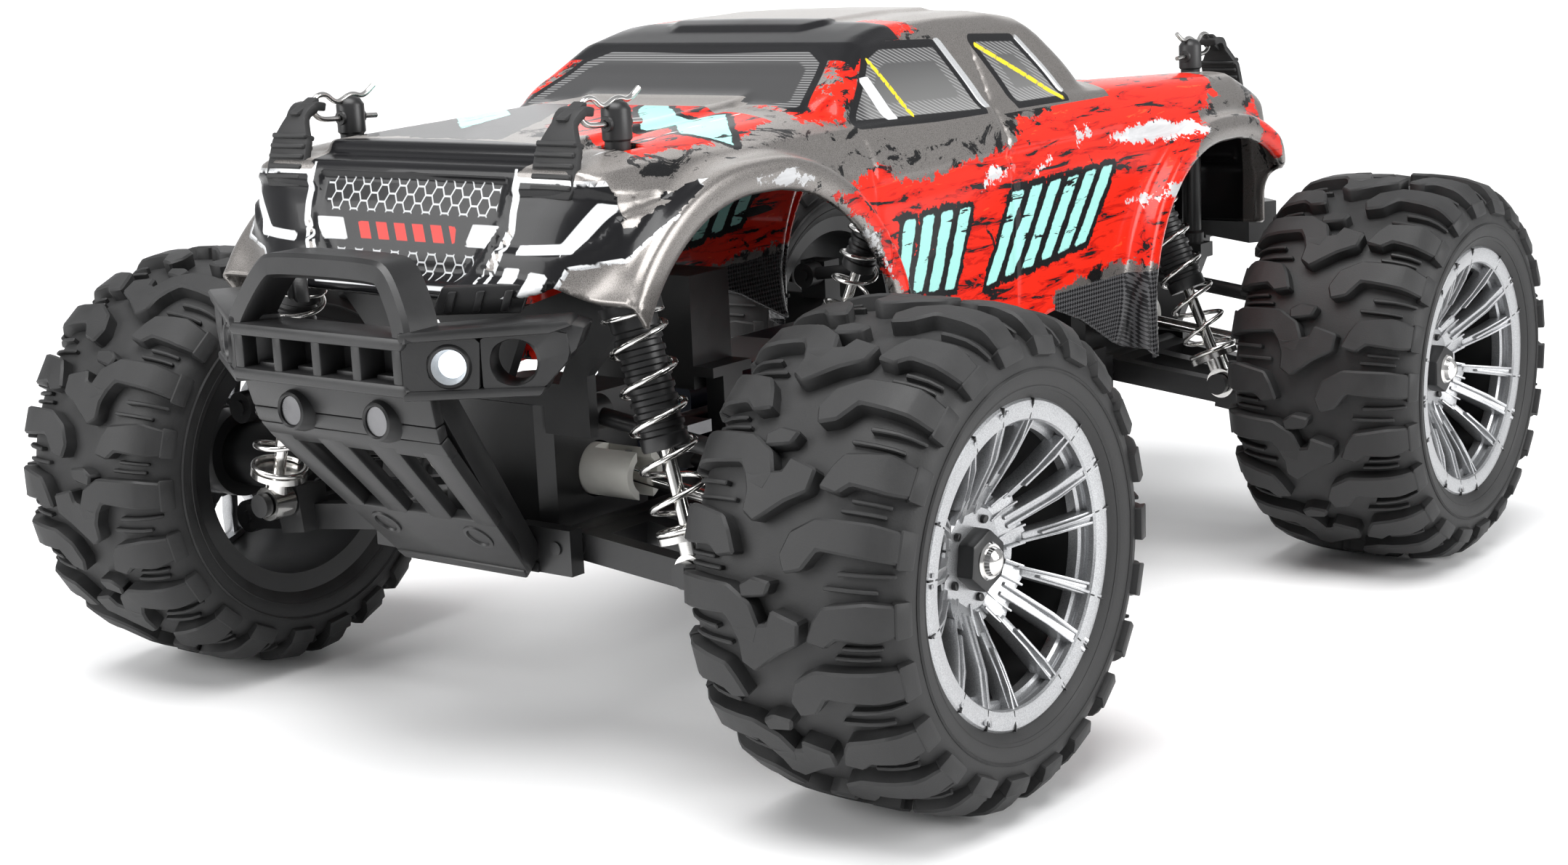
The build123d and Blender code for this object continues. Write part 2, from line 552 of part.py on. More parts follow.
def shock_towers():
    """Front and rear towers with the shock studs and the inner studs of the upper links."""
    pieces = []
    for axle_y, shock, offset in (
        (FRONT_AXLE_Y, FRONT_SHOCK, FRONT_LINK_OFFSET),
        (REAR_AXLE_Y, REAR_SHOCK, REAR_LINK_OFFSET),
    ):
        face = axle_y - 14.0
        tower = Pos(0, face, 0) * shock_tower(shock, 65.6)
        (top_x, top_z), (link_x, link_z) = shock["top"], UPPER_PIVOT
        for side in (-1, 1):
            tower += rod_y(STUD_RADIUS, face - 9.2, face + 1, side * top_x, top_z)
            tower += rod_y(STUD_RADIUS, face + 1, axle_y + offset + 3.0, side * link_x, link_z)
        if axle_y < 0:
            for side in (-1, 1):
                x0, x1 = sorted((side * 30.8, side * 37.6))
                tower += block(x0, x1, face, face + 6.2, 92.4, FRONT_POST["foot"])
        pieces.append(tower)
    bar = block(-38.0, 38.0, REAR_POST["y"] - 3, REAR_POST["y"] + 3, 65.5, REAR_POST["foot"])
    return pieces + [bar]


def body_posts():
    """Four posts through the shell, each drilled for its clip."""
    posts = []
    for spot in (FRONT_POST, REAR_POST):
        for side in (-1, 1):
            x, y = side * spot["x"], spot["y"]
            post = rod_z(POST_RADIUS, spot["foot"], spot["top"], x, y)
            post += rod_z(2.9, spot["foot"], spot["foot"] + 2.5, x, y)
            posts.append(post - rod_y(0.8, y - 4, y + 4, x, spot["top"] - CLIP_DROP))
    return posts


def body_clips():
    """Four R-shaped spring clips with a pull tab each."""
    pieces = []
    for spot in (FRONT_POST, REAR_POST):
        for side in (-1, 1):
            x, y, z = side * spot["x"], spot["y"], spot["top"] - CLIP_DROP
            leg = rod_y(0.6, y - 6, y + 8, x, z) + rod_y(0.6, y - 5, y + 8, x, z + 3.6 + 2.0)
            leg += Pos(x, y + 8, z + 2.8) * Rot(0, 90, 0) * (Cylinder(3.4, 1.2) - Cylinder(2.2, 3))
            pieces.append(leg)
            pieces.append(block(x - 2.5, x + 2.5, y + 11.5, y + 24.0, z + 1.8, z + 3.8))
    return pieces


# Bumpers and lamps --------------------------------------------------------------------------------
def front_bumper():
    """Swept bumper with four pockets, lamp recesses, a hoop and a slotted skid plate down to the floor."""
    wing = [(-48, -131), (-21, NOSE_Y + 1.5), (21, NOSE_Y + 1.5), (48, -131)]
    wing += [(44, -123), (19, -138), (-19, -138), (-44, -123)]
    bumper = plate_z(wing, 76.0, 84.5)
    centre = block(-22, 22, NOSE_Y, -138, 75.0, 85.0)
    for k in range(4):
        x = -15.6 + 10.4 * k
        centre -= block(x - 4.0, x + 4.0, NOSE_Y - 1, NOSE_Y + 6, 76.5, 83.0)
    bumper += centre
    for side in (-1, 1):
        bumper -= Pos(side * LAMP_X, LAMP_Y, LAMP_Z) * Rot(0, 0, side * LAMP_TURN) * Box(9.0, 9.0, 5.4)
    skid = [(-145.5, 76.5), (-143, 66), (-118, FLOOR_Z), (-116, FLOOR_Z)]
    skid += [(-116, 38.4), (-117.6, 38.4), (-140, 67.5), (-142, 76.5)]
    ramp = plate_x(skid, -24, 24)
    ramp = ramp & plate_y([(-24, 77), (24, 77), (24, 66), (17.5, 36), (-17.5, 36), (-24, 66)], -150, -110)
    for x in (-12.0, 0.0, 12.0):
        ramp -= block(x - 3.0, x + 3.0, -145, -118, 44.0, 61.0)
    for x in (-SKID_SCREW_X, SKID_SCREW_X):
        ramp -= rod_y(1.8, -150, -135, x, SKID_SCREW_Z)
    bumper += ramp
    loop = block(-21.5, 21.5, -149.5, -139.5, 84.0, 96.5) - block(-15.5, 15.5, -151, -138, 80.0, 92.0)
    loop = loop & plate_y([(-22, 84), (22, 84), (14, 96.5), (-14, 96.5)], -150, -135)
    return [bumper + loop - block(-15.5, 15.5, -151, -138, 85.0, 91.9)]


def rear_bumper():
    """Plain rear bumper: a swept bar on a sloped skid plate."""
    wing = [(-42, 131), (-21, TAIL_Y - 2), (21, TAIL_Y - 2), (42, 131)]
    wing += [(38, 124), (19, 135), (-19, 135), (-38, 124)]
    bumper = plate_z(wing, 66.0, 76.0) + block(-20, 20, 135, TAIL_Y, 65.0, 77.0)
    skid = [(143, 68), (141, 60), (119, FLOOR_Z), (116, FLOOR_Z)]
    skid += [(116, 38.4), (118, 38.4), (138, 61), (139, 68)]
    return [bumper + plate_x(skid, -17.5, 17.5)]


def bumper_lamps():
    lamps = []
    for side in (-1, 1):
        lens = Pos(0, 2.3, 0) * Box(8.6, 4.0, 5.0)
        lamps.append(Pos(side * LAMP_X, LAMP_Y, LAMP_Z) * Rot(0, 0, side * LAMP_TURN) * lens)
    return lamps


def chassis_screws():
    """Cap screws: two in the skid plate, four on each housing, eight sunk into the floor from below."""
    screws = []
    for x in (-SKID_SCREW_X, SKID_SCREW_X):
        head = rod_y(2.6, -146.6, -145.0, x, SKID_SCREW_Z)
        screws.append(head + rod_y(1.5, -145.2, -141.0, x, SKID_SCREW_Z))
    for axle_y in (FRONT_AXLE_Y, REAR_AXLE_Y):
        for x in (-11.5, 11.5):
            for y in (axle_y - 8.5, axle_y - 2.0):
                screws.append(rod_z(2.0, 65.5, 67.1, x, y))
    for x, y in floor_screw_spots():
        screws.append(rod_z(2.3, FLOOR_Z, FLOOR_Z + FLOOR_SCREW_HEAD, x, y))
    return screws


# Body shell ---------------------------------------------------------------------------------------
def shell_solid(inset):
    """The shell's volume: side, plan and front outlines of the lower body intersected, and the cab on top."""
    side = [(-134, 90), (-127, 93), (-122.5, 111.5), (-62, 116), (38, 112), (104, 110), (115, 102), (119, 85)]
    hem = [(108, 85), (60, 52), (-50, 52), (-60, 90)]
    side += [(119, 20), (-134, 20)] if inset else hem
    plan = [(30, -134), (51, -119), (50, 40), (46, 119)]
    front = [(35, 20), (46, 52), (SHELL_HALF + 1, 67), (SHELL_HALF, 99), (44, 113), (26, 117)]
    plan += [(-x, y) for x, y in plan[::-1]]
    front += [(-x, z) for x, z in front[::-1]]
    solids = []
    views = ((side, plate_x, -60, 60), (plan, plate_z, 15, 130), (front, plate_y, -140, 125))
    for outline, prism, low, high in views:
        face = Polygon(*outline, align=None)
        if inset:
            face = offset(face, -inset, kind=Kind.INTERSECTION)
        corners = [(v.X, v.Y) for v in face.face().outer_wire().order_edges().vertices()]
        solids.append(prism(corners, low, high))
    body = solids[0] & solids[1] & solids[2]
    base = Pos(0, -8, 108) * Rectangle(2 * (43.5 - inset), 2 * (53 - inset))
    roof = Pos(0, -6, 131.5 - inset) * Rectangle(2 * (34.5 - inset), 2 * (31 - inset))
    return body + loft([base.face(), roof.face()], ruled=True)


def body_shell():
    """One vacuum-formed shell, open underneath, with wheel arches and a hole over every post."""
    shell = shell_solid(0) - shell_solid(SHELL_WALL)
    for y, z, radius in (FRONT_ARCH, REAR_ARCH):
        shell -= rod_x(radius, -60, 60, y, z)
    for spot in (FRONT_POST, REAR_POST):
        for side in (-1, 1):
            shell -= rod_z(POST_RADIUS + 0.7, 90, 130, side * spot["x"], spot["y"])
    return [shell]


# Assembly -----------------------------------------------------------------------------------------
def corner_parts(end):
    """Every left-hand node of one axle, by name."""
    axle_y, shock = (FRONT_AXLE_Y, FRONT_SHOCK) if end == "front" else (REAR_AXLE_Y, REAR_SHOCK)
    parts = {
        "lower_arm": lower_arm(axle_y, shock),
        "tyre": tyre(axle_y),
        "rim": rim(axle_y),
        "driveshaft": driveshaft(axle_y),
        "shock_cylinder": shock_cylinder(axle_y, shock),
        "shock_spring": shock_spring(axle_y, shock),
        "shock_rod": shock_rod(axle_y, shock),
    }
    if end == "front":
        parts["upper_link"] = upper_link(axle_y, FRONT_LINK_OFFSET)
        parts["caster_block"] = caster_block(axle_y)
        parts["steering_knuckle"] = steering_knuckle(axle_y)
        parts["tie_rod"] = tie_rod()
    else:
        parts["upper_link"] = upper_link(axle_y, REAR_LINK_OFFSET)
        parts["hub_carrier"] = rear_hub(axle_y)
    return parts


def all_parts():
    parts = {
        "chassis_tub": chassis_tub(),
        "front_bumper": front_bumper(),
        "rear_bumper": rear_bumper(),
        "bumper_lamps": bumper_lamps(),
        "gearbox_housings": gearbox_housings(),
        "shock_towers": shock_towers(),
        "body_posts": body_posts(),
        "body_clips": body_clips(),
        "body_shell": body_shell(),
        "servo": servo(),
        "servo_horn": servo_horn(),
        "steering_plate": steering_plate(),
        "motor": motor(),
        "motor_pinion": motor_pinion(),
        "battery": battery(),
        "speed_controller": speed_controller(),
        "chassis_screws": chassis_screws(),
        "centre_driveline": centre_driveline(),
        "front_differential": differential(FRONT_AXLE_Y, 1),
        "rear_differential": differential(REAR_AXLE_Y, -1),
    }
    for end in ("front", "rear"):
        for name, pieces in corner_parts(end).items():
            parts[f"{end}_left_{name}"] = pieces
            parts[f"{end}_right_{name}"] = [mirror(piece, about=Plane.YZ) for piece in pieces]
    return parts


def main():
    os.makedirs("parts", exist_ok=True)
    for name, pieces in all_parts().items():
        solids = [solid for piece in pieces for solid in piece.solids()]
        shape = solids[0] if len(solids) == 1 else Compound(children=solids)
        export_step(shape, f"parts/{name}.step")


main()
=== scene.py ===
"""Looks for the 1:16 monster truck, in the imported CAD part's frame (metres; helpers work in millimetres)."""

import math

import bmesh
import bpy
import numpy as np
from mathutils import Matrix, Vector


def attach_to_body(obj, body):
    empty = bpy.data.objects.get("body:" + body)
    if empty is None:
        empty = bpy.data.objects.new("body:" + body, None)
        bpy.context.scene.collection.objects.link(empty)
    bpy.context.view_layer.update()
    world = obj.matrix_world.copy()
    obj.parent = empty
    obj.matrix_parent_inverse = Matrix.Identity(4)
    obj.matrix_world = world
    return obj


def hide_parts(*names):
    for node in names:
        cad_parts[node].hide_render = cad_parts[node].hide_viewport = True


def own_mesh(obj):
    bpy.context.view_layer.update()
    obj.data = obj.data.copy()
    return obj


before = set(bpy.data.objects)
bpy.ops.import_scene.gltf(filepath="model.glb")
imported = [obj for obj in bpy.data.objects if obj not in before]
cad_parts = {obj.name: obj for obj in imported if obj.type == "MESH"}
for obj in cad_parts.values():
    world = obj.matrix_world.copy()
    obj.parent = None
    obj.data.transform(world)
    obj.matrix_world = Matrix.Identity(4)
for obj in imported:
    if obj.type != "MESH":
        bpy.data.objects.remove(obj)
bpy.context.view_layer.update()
MM = 0.001
SIDES = (("left", 1), ("right", -1))
FRONT_Y, REAR_Y, AXLE_Z, WHEEL_X = -95.0, 95.0, 44.0, 89.0
CENTRE = (0, 0, 0)
FAR = 50.0


# Node materials -----------------------------------------------------------------------------------
class Signal:
    """A node output that combines with numbers and other outputs by ordinary arithmetic."""

    def __init__(self, shader, socket):
        self.shader, self.socket = shader, socket

    def __add__(self, other):
        return self.shader.math("ADD", self, other)

    def __sub__(self, other):
        return self.shader.math("SUBTRACT", self, other)

    def __rsub__(self, other):
        return self.shader.math("SUBTRACT", other, self)

    def __mul__(self, other):
        return self.shader.math("MULTIPLY", self, other)

    def __or__(self, other):
        return self.shader.math("MAXIMUM", self, other)


class Shader:
    """A Principled material with short helpers for building its node tree."""

    def __init__(self, name, color=(0.5, 0.5, 0.5), rough=0.5, metal=0.0, coat=0.0):
        self.mat = bpy.data.materials.new(name)
        self.mat.use_nodes = True
        self.tree = self.mat.node_tree
        self.bsdf = self.tree.nodes["Principled BSDF"]
        self.set("Base Color", (*color, 1))
        self.set("Roughness", rough)
        self.set("Metallic", metal)
        self.set("Coat Weight", coat)
        self.set("Coat Roughness", 0.04)
        self.coords = Signal(self, self.node("ShaderNodeTexCoord").outputs["Object"])

    def node(self, kind, **props):
        made = self.tree.nodes.new(kind)
        for key, value in props.items():
            setattr(made, key, value)
        return made

    def wire(self, made, values, output=0):
        """Feeds a node's inputs, given by index or name, and returns one of its outputs."""
        for key, value in values.items():
            self.feed(made.inputs[key], value)
        return Signal(self, made.outputs[output])

    def feed(self, socket, value):
        if isinstance(value, Signal):
            self.tree.links.new(value.socket, socket)
        else:
            socket.default_value = value

    def set(self, name, value):
        self.feed(self.bsdf.inputs[name], value)

    def math(self, op, a, b=0.0):
        return self.wire(self.node("ShaderNodeMath", operation=op), {0: a, 1: b})

    def mix(self, fac, a, b):
        """Colour a where fac is 0 and colour b where it is 1."""
        a, b = (value if isinstance(value, Signal) else (*value, 1) for value in (a, b))
        return self.wire(self.node("ShaderNodeMix", data_type="RGBA"), {0: fac, 6: a, 7: b}, 2)

    def blend(self, fac, a, b):
        """Number a where fac is 0 and number b where it is 1."""
        return self.wire(self.node("ShaderNodeMix", data_type="FLOAT"), {0: fac, 2: a, 3: b})

    def step(self, value, low, high, out_low=0.0, out_high=1.0):
        made = self.node("ShaderNodeMapRange", interpolation_type="SMOOTHSTEP")
        return self.wire(made, dict(enumerate((value, low, high, out_low, out_high))))

    def noise(self, scale, detail=4.0, rough=0.5, coords=None, distortion=0.0):
        values = {"Scale": scale, "Detail": detail, "Roughness": rough, "Distortion": distortion}
        return self.wire(self.node("ShaderNodeTexNoise"), {"Vector": coords or self.coords, **values})

    def wave(self, phase):
        return self.math("SINE", phase)

    def attr(self, name):
        return self.wire(self.node("ShaderNodeAttribute", attribute_name=name), {}, "Fac")

    def stretched(self, scale, turn):
        made = self.node("ShaderNodeMapping")
        return self.wire(made, {"Vector": self.coords, "Rotation": turn, "Scale": scale})

    def xyz(self):
        made = self.node("ShaderNodeSeparateXYZ")
        self.feed(made.inputs[0], self.coords)
        return [Signal(self, output) for output in made.outputs]

    def bump(self, height, distance, strength=1.0):
        values = {"Height": height, "Distance": distance, "Strength": strength}
        self.set("Normal", self.wire(self.node("ShaderNodeBump"), values))


def worn(name, color, rough, metal=0.0, grain=900.0, depth=0.00004, tint=0.25):
    """A moulded or machined finish: a broad noise varies colour and roughness, fine grain bumps it."""
    shader = Shader(name, color, rough, metal)
    broad = shader.noise(38.0, 5.0, 0.6)
    dark = tuple(c * (1 - tint) for c in color)
    light = tuple(min(1.0, c * (1 + tint) + 0.004) for c in color)
    shader.set("Base Color", shader.mix(shader.step(broad, 0.35, 0.65), dark, light))
    shader.set("Roughness", shader.step(broad, 0.3, 0.7, max(0.03, rough - 0.06), rough + 0.08))
    shader.bump(shader.noise(grain, 3.0, 0.6), depth, 0.6)
    return shader.mat


# Mesh helpers -------------------------------------------------------------------------------------
def link_object(name, mesh):
    obj = bpy.data.objects.new(name, mesh)
    bpy.context.scene.collection.objects.link(obj)
    return obj


def to_object(name, bm, mat, sharp=32.0):
    """Writes a millimetre bmesh as an object in metres, smooth shaded between sharp edges."""
    bmesh.ops.remove_doubles(bm, verts=bm.verts, dist=0.0005)
    bmesh.ops.recalc_face_normals(bm, faces=bm.faces)
    limit = math.radians(sharp)
    for face in bm.faces:
        face.smooth = True
    for edge in bm.edges:
        edge.smooth = len(edge.link_faces) == 2 and edge.calc_face_angle(0) < limit
    bm.transform(Matrix.Scale(MM, 4))
    mesh = bpy.data.meshes.new(name)
    bm.to_mesh(mesh)
    bm.free()
    mesh.materials.append(MATS[mat])
    return link_object(name, mesh)


def attach(obj, body, node):
    """Moves an object with a body, in place of a CAD node."""
    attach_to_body(obj, body)
    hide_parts(node)


def grid(bm, rows, wrap_u=False, wrap_v=False):
    """Quads between rows of points; wrap_u closes each row, wrap_v joins the last row to the first."""
    made = [[bm.verts.new(p) for p in row] for row in rows]
    total, width = len(made), len(made[0])
    for i in range(total if wrap_v else total - 1):
        for j in range(width if wrap_u else width - 1):
            a, b = made[i], made[(i + 1) % total]
            k = (j + 1) % width
            bm.faces.new((a[j], a[k], b[k], b[j]))
    return made


def rings(bm, profile, segs, point):
    """Turns an (along, radius) profile about an axis; point(along, across, up) gives each vertex."""
    rows = []
    for k in range(segs):
        c, s = math.cos(2 * math.pi * k / segs), math.sin(2 * math.pi * k / segs)
        rows.append([point(along, r * c, r * s) for along, r in profile])
    grid(bm, rows, wrap_u=profile[0][1] > 0 and profile[-1][1] > 0, wrap_v=True)


def lathe(bm, profile, centre=CENTRE, axis="x", segs=64):
    """A closed ring: (along, radius) points turned about an axis through centre."""

    def point(along, c, s):
        local = {"x": (along, c, s), "y": (s, along, c), "z": (c, s, along)}[axis]
        return [centre[i] + local[i] for i in range(3)]

    rings(bm, profile, segs, point)


def lathe_at(bm, place, u, v, profile, segs=36):
    """The same, standing on a mapped surface at (u, v)."""
    rings(bm, profile, segs, lambda along, c, s: place(u + c, v + s, along))


def flat_xyz(u, v, h):
    return (u, v, h)


def prism(bm, outline, low, high, place, bevel, segs=2, top_only=False):
    """Extrudes a flat outline from low to high, bevels it, then maps each (u, v, h) with place."""
    part = bmesh.new()
    base = part.faces.new([part.verts.new((u, v, low)) for u, v in outline])
    top = bmesh.ops.extrude_face_region(part, geom=[base])
    lifted = [v for v in top["geom"] if isinstance(v, bmesh.types.BMVert)]
    bmesh.ops.translate(part, verts=lifted, vec=(0, 0, high - low))
    bmesh.ops.recalc_face_normals(part, faces=part.faces)
    edges = list(part.edges)
    if top_only:
        edges = [e for e in edges if max(v.co.z for v in e.verts) > low + 1e-6]
    bmesh.ops.bevel(
        part, geom=edges, offset=bevel, segments=segs, affect="EDGES", profile=0.5, clamp_overlap=True
    )
    add_mapped(bm, part, place)


def rect(left, right, low, high):
    return [(left, low), (right, low), (right, high), (left, high)]


def slice_across(part, cuts):
    """Cuts a flat piece into strips at the given u, so that it can bend."""
    for cut in cuts:
        geom = part.verts[:] + part.edges[:] + part.faces[:]
        bmesh.ops.bisect_plane(part, geom=geom, plane_co=(cut, 0, 0), plane_no=(1, 0, 0))


def add_mapped(bm, part, place):
    """Adds a part to bm with every vertex moved by place; faces that collapse are left out."""
    part.verts.index_update()
    made = [bm.verts.new(place(*v.co)) for v in part.verts]
    for f in part.faces:
        try:
            bm.faces.new([made[v.index] for v in f.verts])
        except ValueError:
            pass
    part.free()


def tube(bm, path, radius, segs=10):
    """A round wire along a path, capped at its ends."""
    points = [Vector(p) for p in path]
    last = len(points) - 1
    normal = (points[1] - points[0]).normalized().orthogonal().normalized()
    rows = []
    for i, p in enumerate(points):
        d = (points[min(i + 1, last)] - points[max(i - 1, 0)]).normalized()
        normal = (normal - d * normal.dot(d)).normalized()
        side = d.cross(normal)
        angles = [2 * math.pi * k / segs for k in range(segs)]
        rows.append([p + (normal * math.cos(a) + side * math.sin(a)) * radius for a in angles])
    cap_ends(bm, grid(bm, rows, wrap_u=True))


def cap_ends(bm, made):
    bm.faces.new(made[0][::-1])
    bm.faces.new(made[-1])


def lengths_along(line):
    """Distance of each point of a polyline from its first point."""
    return np.concatenate([[0], np.cumsum(np.linalg.norm(np.diff(line, axis=0), axis=1))])


def fitted(points, count):
    """count samples along a polyline, evenly spaced by length."""
    pts = np.array(points, float)
    along = lengths_along(pts)
    at = np.linspace(0, along[-1], count)
    return np.stack([np.interp(at, along, pts[:, i]) for i in range(pts.shape[1])], axis=1)


def smooth_line(points, count, rounds=2):
    """Corner-cut (Chaikin) polyline, resampled to count points."""
    pts = np.array(points, float)
    for _ in range(rounds):
        cut = [pts[0]]
        for a, b in zip(pts[:-1], pts[1:]):
            cut += [a * 0.75 + b * 0.25, a * 0.25 + b * 0.75]
        cut.append(pts[-1])
        pts = np.array(cut)
    return fitted(pts, count)


def signed_distance(points, polygon):
    """Signed distance from each 2-D point to a closed polygon, negative inside."""
    p = np.asarray(points, float)
    poly = np.asarray(polygon, float)
    best = np.full(len(p), 1e9)
    inside = np.zeros(len(p), bool)
    for a, b in zip(poly, np.roll(poly, -1, axis=0)):
        e, w = b - a, p - a
        t = np.clip((w @ e) / (e @ e), 0, 1)
        best = np.minimum(best, np.linalg.norm(w - t[:, None] * e, axis=1))
        crosses = (a[1] > p[:, 1]) != (b[1] > p[:, 1])
        slope = np.where(b[1] == a[1], 1e-9, b[1] - a[1])
        inside ^= crosses & (p[:, 0] < (b[0] - a[0]) * (p[:, 1] - a[1]) / slope + a[0])
    return np.where(inside, -best, best)


def union(points, polygons):
    out = np.full(len(points), FAR)
    for polygon in polygons:
        out = np.minimum(out, signed_distance(points, polygon))
    return out


# Finishes -----------------------------------------------------------------------------------------
def rubber():
    shader = Shader("tyre_rubber")
    broad = shader.noise(55.0, 6.0, 0.65)
    worn_tread = shader.step(broad, 0.35, 0.7)
    shader.set("Base Color", shader.mix(worn_tread, (0.007, 0.007, 0.0072), (0.02, 0.02, 0.0205)))
    shader.set("Roughness", shader.step(broad, 0.3, 0.7, 0.52, 0.7))
    shader.bump(broad * 0.6 + shader.noise(2600.0, 3.0, 0.7), 0.00005, 0.7)
    return shader.mat


def silver_paint():
    shader = Shader("rim_silver", metal=0.85, coat=0.25)
    flake = shader.noise(5200.0, 2.0, 0.8)
    broad = shader.noise(60.0, 4.0)
    tone = shader.mix(shader.step(flake, 0.3, 0.75), (0.3, 0.305, 0.315), (0.56, 0.57, 0.58))
    shader.set("Base Color", shader.mix(shader.step(broad, 0.3, 0.7, 0.0, 0.3), tone, (0.36, 0.36, 0.37)))
    shader.set("Roughness", shader.step(flake, 0.2, 0.8, 0.26, 0.42))
    shader.bump(flake, 0.00002, 0.35)
    return shader.mat


def lamp_glass():
    shader = Shader("lamp_lens", (0.9, 0.95, 1.0), 0.1)
    ripple = shader.noise(900.0, 2.0)
    shader.set("Emission Color", shader.mix(ripple, (0.75, 0.88, 1.0), (1.0, 1.0, 1.0)))
    shader.set("Emission Strength", shader.step(ripple, 0.2, 0.8, 3.0, 6.0))
    shader.bump(ripple, 0.0001)
    return shader.mat


def wrapped_cell():
    """Dark shrink wrap with a plain light band round its middle."""
    shader = Shader("battery_wrap", rough=0.3, coat=0.4)
    y = shader.xyz()[1]
    beyond = shader.step(shader.math("ABSOLUTE", y + 0.01), 0.011, 0.0115)
    wrap = shader.mix(shader.noise(90.0), (0.006, 0.009, 0.02), (0.012, 0.018, 0.035))
    shader.set("Base Color", shader.mix(beyond, (0.42, 0.43, 0.44), wrap))
    shader.bump(shader.noise(260.0, 2.0), 0.0002, 0.4)
    return shader.mat


MATS = {
    "tyre_rubber": rubber(),
    "silver_rim": silver_paint(),
    "black_nylon": worn("black_nylon", (0.0095, 0.0095, 0.01), 0.4, grain=2400.0, depth=0.00003, tint=0.3),
    "steel": worn("steel_screws", (0.16, 0.16, 0.165), 0.3, 1.0, 1800.0, 0.00001),
    "bright_steel": worn("bright_steel", (0.72, 0.71, 0.69), 0.16, 1.0, 1500.0, 0.00001, 0.1),
    "white_nylon": worn("white_nylon", (0.68, 0.67, 0.62), 0.38, grain=1500.0, tint=0.08),
    "gear_brass": worn("gear_metal", (0.52, 0.42, 0.27), 0.28, 1.0, 1400.0, 0.00001, 0.15),
    "anodised": worn("anodised", (0.03, 0.03, 0.032), 0.3, 0.7, 2400.0, 0.00001),
    "motor_can": worn("motor_can", (0.36, 0.36, 0.37), 0.25, 1.0, 1200.0, 0.00001),
    "clip_rubber": worn("clip_rubber", (0.011, 0.011, 0.0115), 0.6, grain=2600.0, depth=0.00004),
    "battery_wrap": wrapped_cell(),
    "lamp_lens": lamp_glass(),
}


# Wheels: drawn for a left-hand wheel about its own centre and mirrored for the right ----------------
TREAD_PERIODS = 11
TYRE_RADIUS = 44.0
PERIOD = 2 * math.pi * TYRE_RADIUS / TREAD_PERIODS
SHOULDER_T = 17.0
STRIP_CUTS = (7, 11.0, 14.0, 16.5, 18.5, 20.5, 22.5)
CARCASS = [(0, 41), (5, 41), (10, 40.9), (15, 40.2), (18.5, 38.8), (20.6, 36.8), (21.6, 34.5), (21.7, 32)]
CARCASS += [(20.8, 29.6), (19.6, 28.2)]
CURVE = smooth_line(CARCASS, 60)
CURVE_AT = lengths_along(CURVE)
BEAD = [(18.6, 27.0), (15.5, 27.0), (17, 32), (12, 37.5)]
LONG_LUG = [(3, -4.5), (6.5, -3.5), (9, 0), (17, -0.5), (22.2, -1), (22.2, 4.8), (17, 5.5), (8, 5.2)]
LONG_LUG += [(3.5, 2.5), (1.8, -1.5)]
SHORT_LUG = [(7, 10), (10.5, 9.2), (12.5, 11), (18, 10.6), (22.2, 11.4), (22.2, 16.8), (17, 17.6)]
SHORT_LUG += [(10, 16.2), (8.5, 13.8)]
CENTRE_LUG = [(-6.5, 4.5), (-4, 3), (1.5, 7), (5.5, 9), (6, 13), (0.5, 14.5), (-0.5, 12), (-6, 11)]
CENTRE_LUG += [(-8, 11.5), (-6.5, 8)]
SMALL_LUG = [(-5.5, 15.6), (-0.5, 16.5), (0.5, 19), (-3.5, 19.5), (-6, 18)]
SIPES = (
    (rect(11, 18.5, 6.6, 7.4), 1.1),
    (rect(12.5, 19, 8.5, 9.3), 1.1),
    (rect(9.5, 18.5, 18.6, 19.4), 1.1),
    ([(12, -3.9), (21.0, -3.4), (21.0, -2.7), (12, -3.0)], 1.4),
)
SHOULDER_LUGS = (rect(20.6, 23.2, -1.7, 5.5), rect(20.6, 23.2, 10.7, 17.5))
DISH = ([0, 6, 10, 14, 20, 24.6, 28], [9.6, 9.8, 10.8, 13.6, 17.0, 19.0, 19.7])
ARMS = 5
WHEEL_TURN = {"front": 0.17, "rear": 0.391}


def on_carcass(t, s, h):
    """Maps arc length t across the tyre, s round it and height h to a point on a left-hand tyre."""
    side = 1 if t >= 0 else -1
    t = min(abs(t), CURVE_AT[-1] - 0.01)
    x, r, ahead_x, ahead_r, behind_x, behind_r = (
        float(np.interp(at, CURVE_AT, CURVE[:, i])) for at in (t, t + 0.3, max(t - 0.3, 0)) for i in range(2)
    )
    dx, dr = ahead_x - behind_x, ahead_r - behind_r
    length = math.hypot(dx, dr) or 1.0
    if t >= SHOULDER_T and h >= 0:
        h *= max(0.22, 1 - (t - SHOULDER_T) / 10.0)
    x, r = x - h * dr / length, r + h * dx / length
    angle = s / TYRE_RADIUS
    return (side * x, r * math.sin(angle), r * math.cos(angle))


def lug(bm, outline, top, shift, side, bevel=0.45):
    """One tread block, cut into strips so that it can wrap round the shoulder."""
    part = bmesh.new()
    points = [(side * u, v + shift) for u, v in outline]
    prism(part, points, -0.8, top, flat_xyz, bevel, 1, top_only=True)
    slice_across(part, [-cut for cut in STRIP_CUTS[::-1]] + [0, *STRIP_CUTS])
    add_mapped(bm, part, on_carcass)


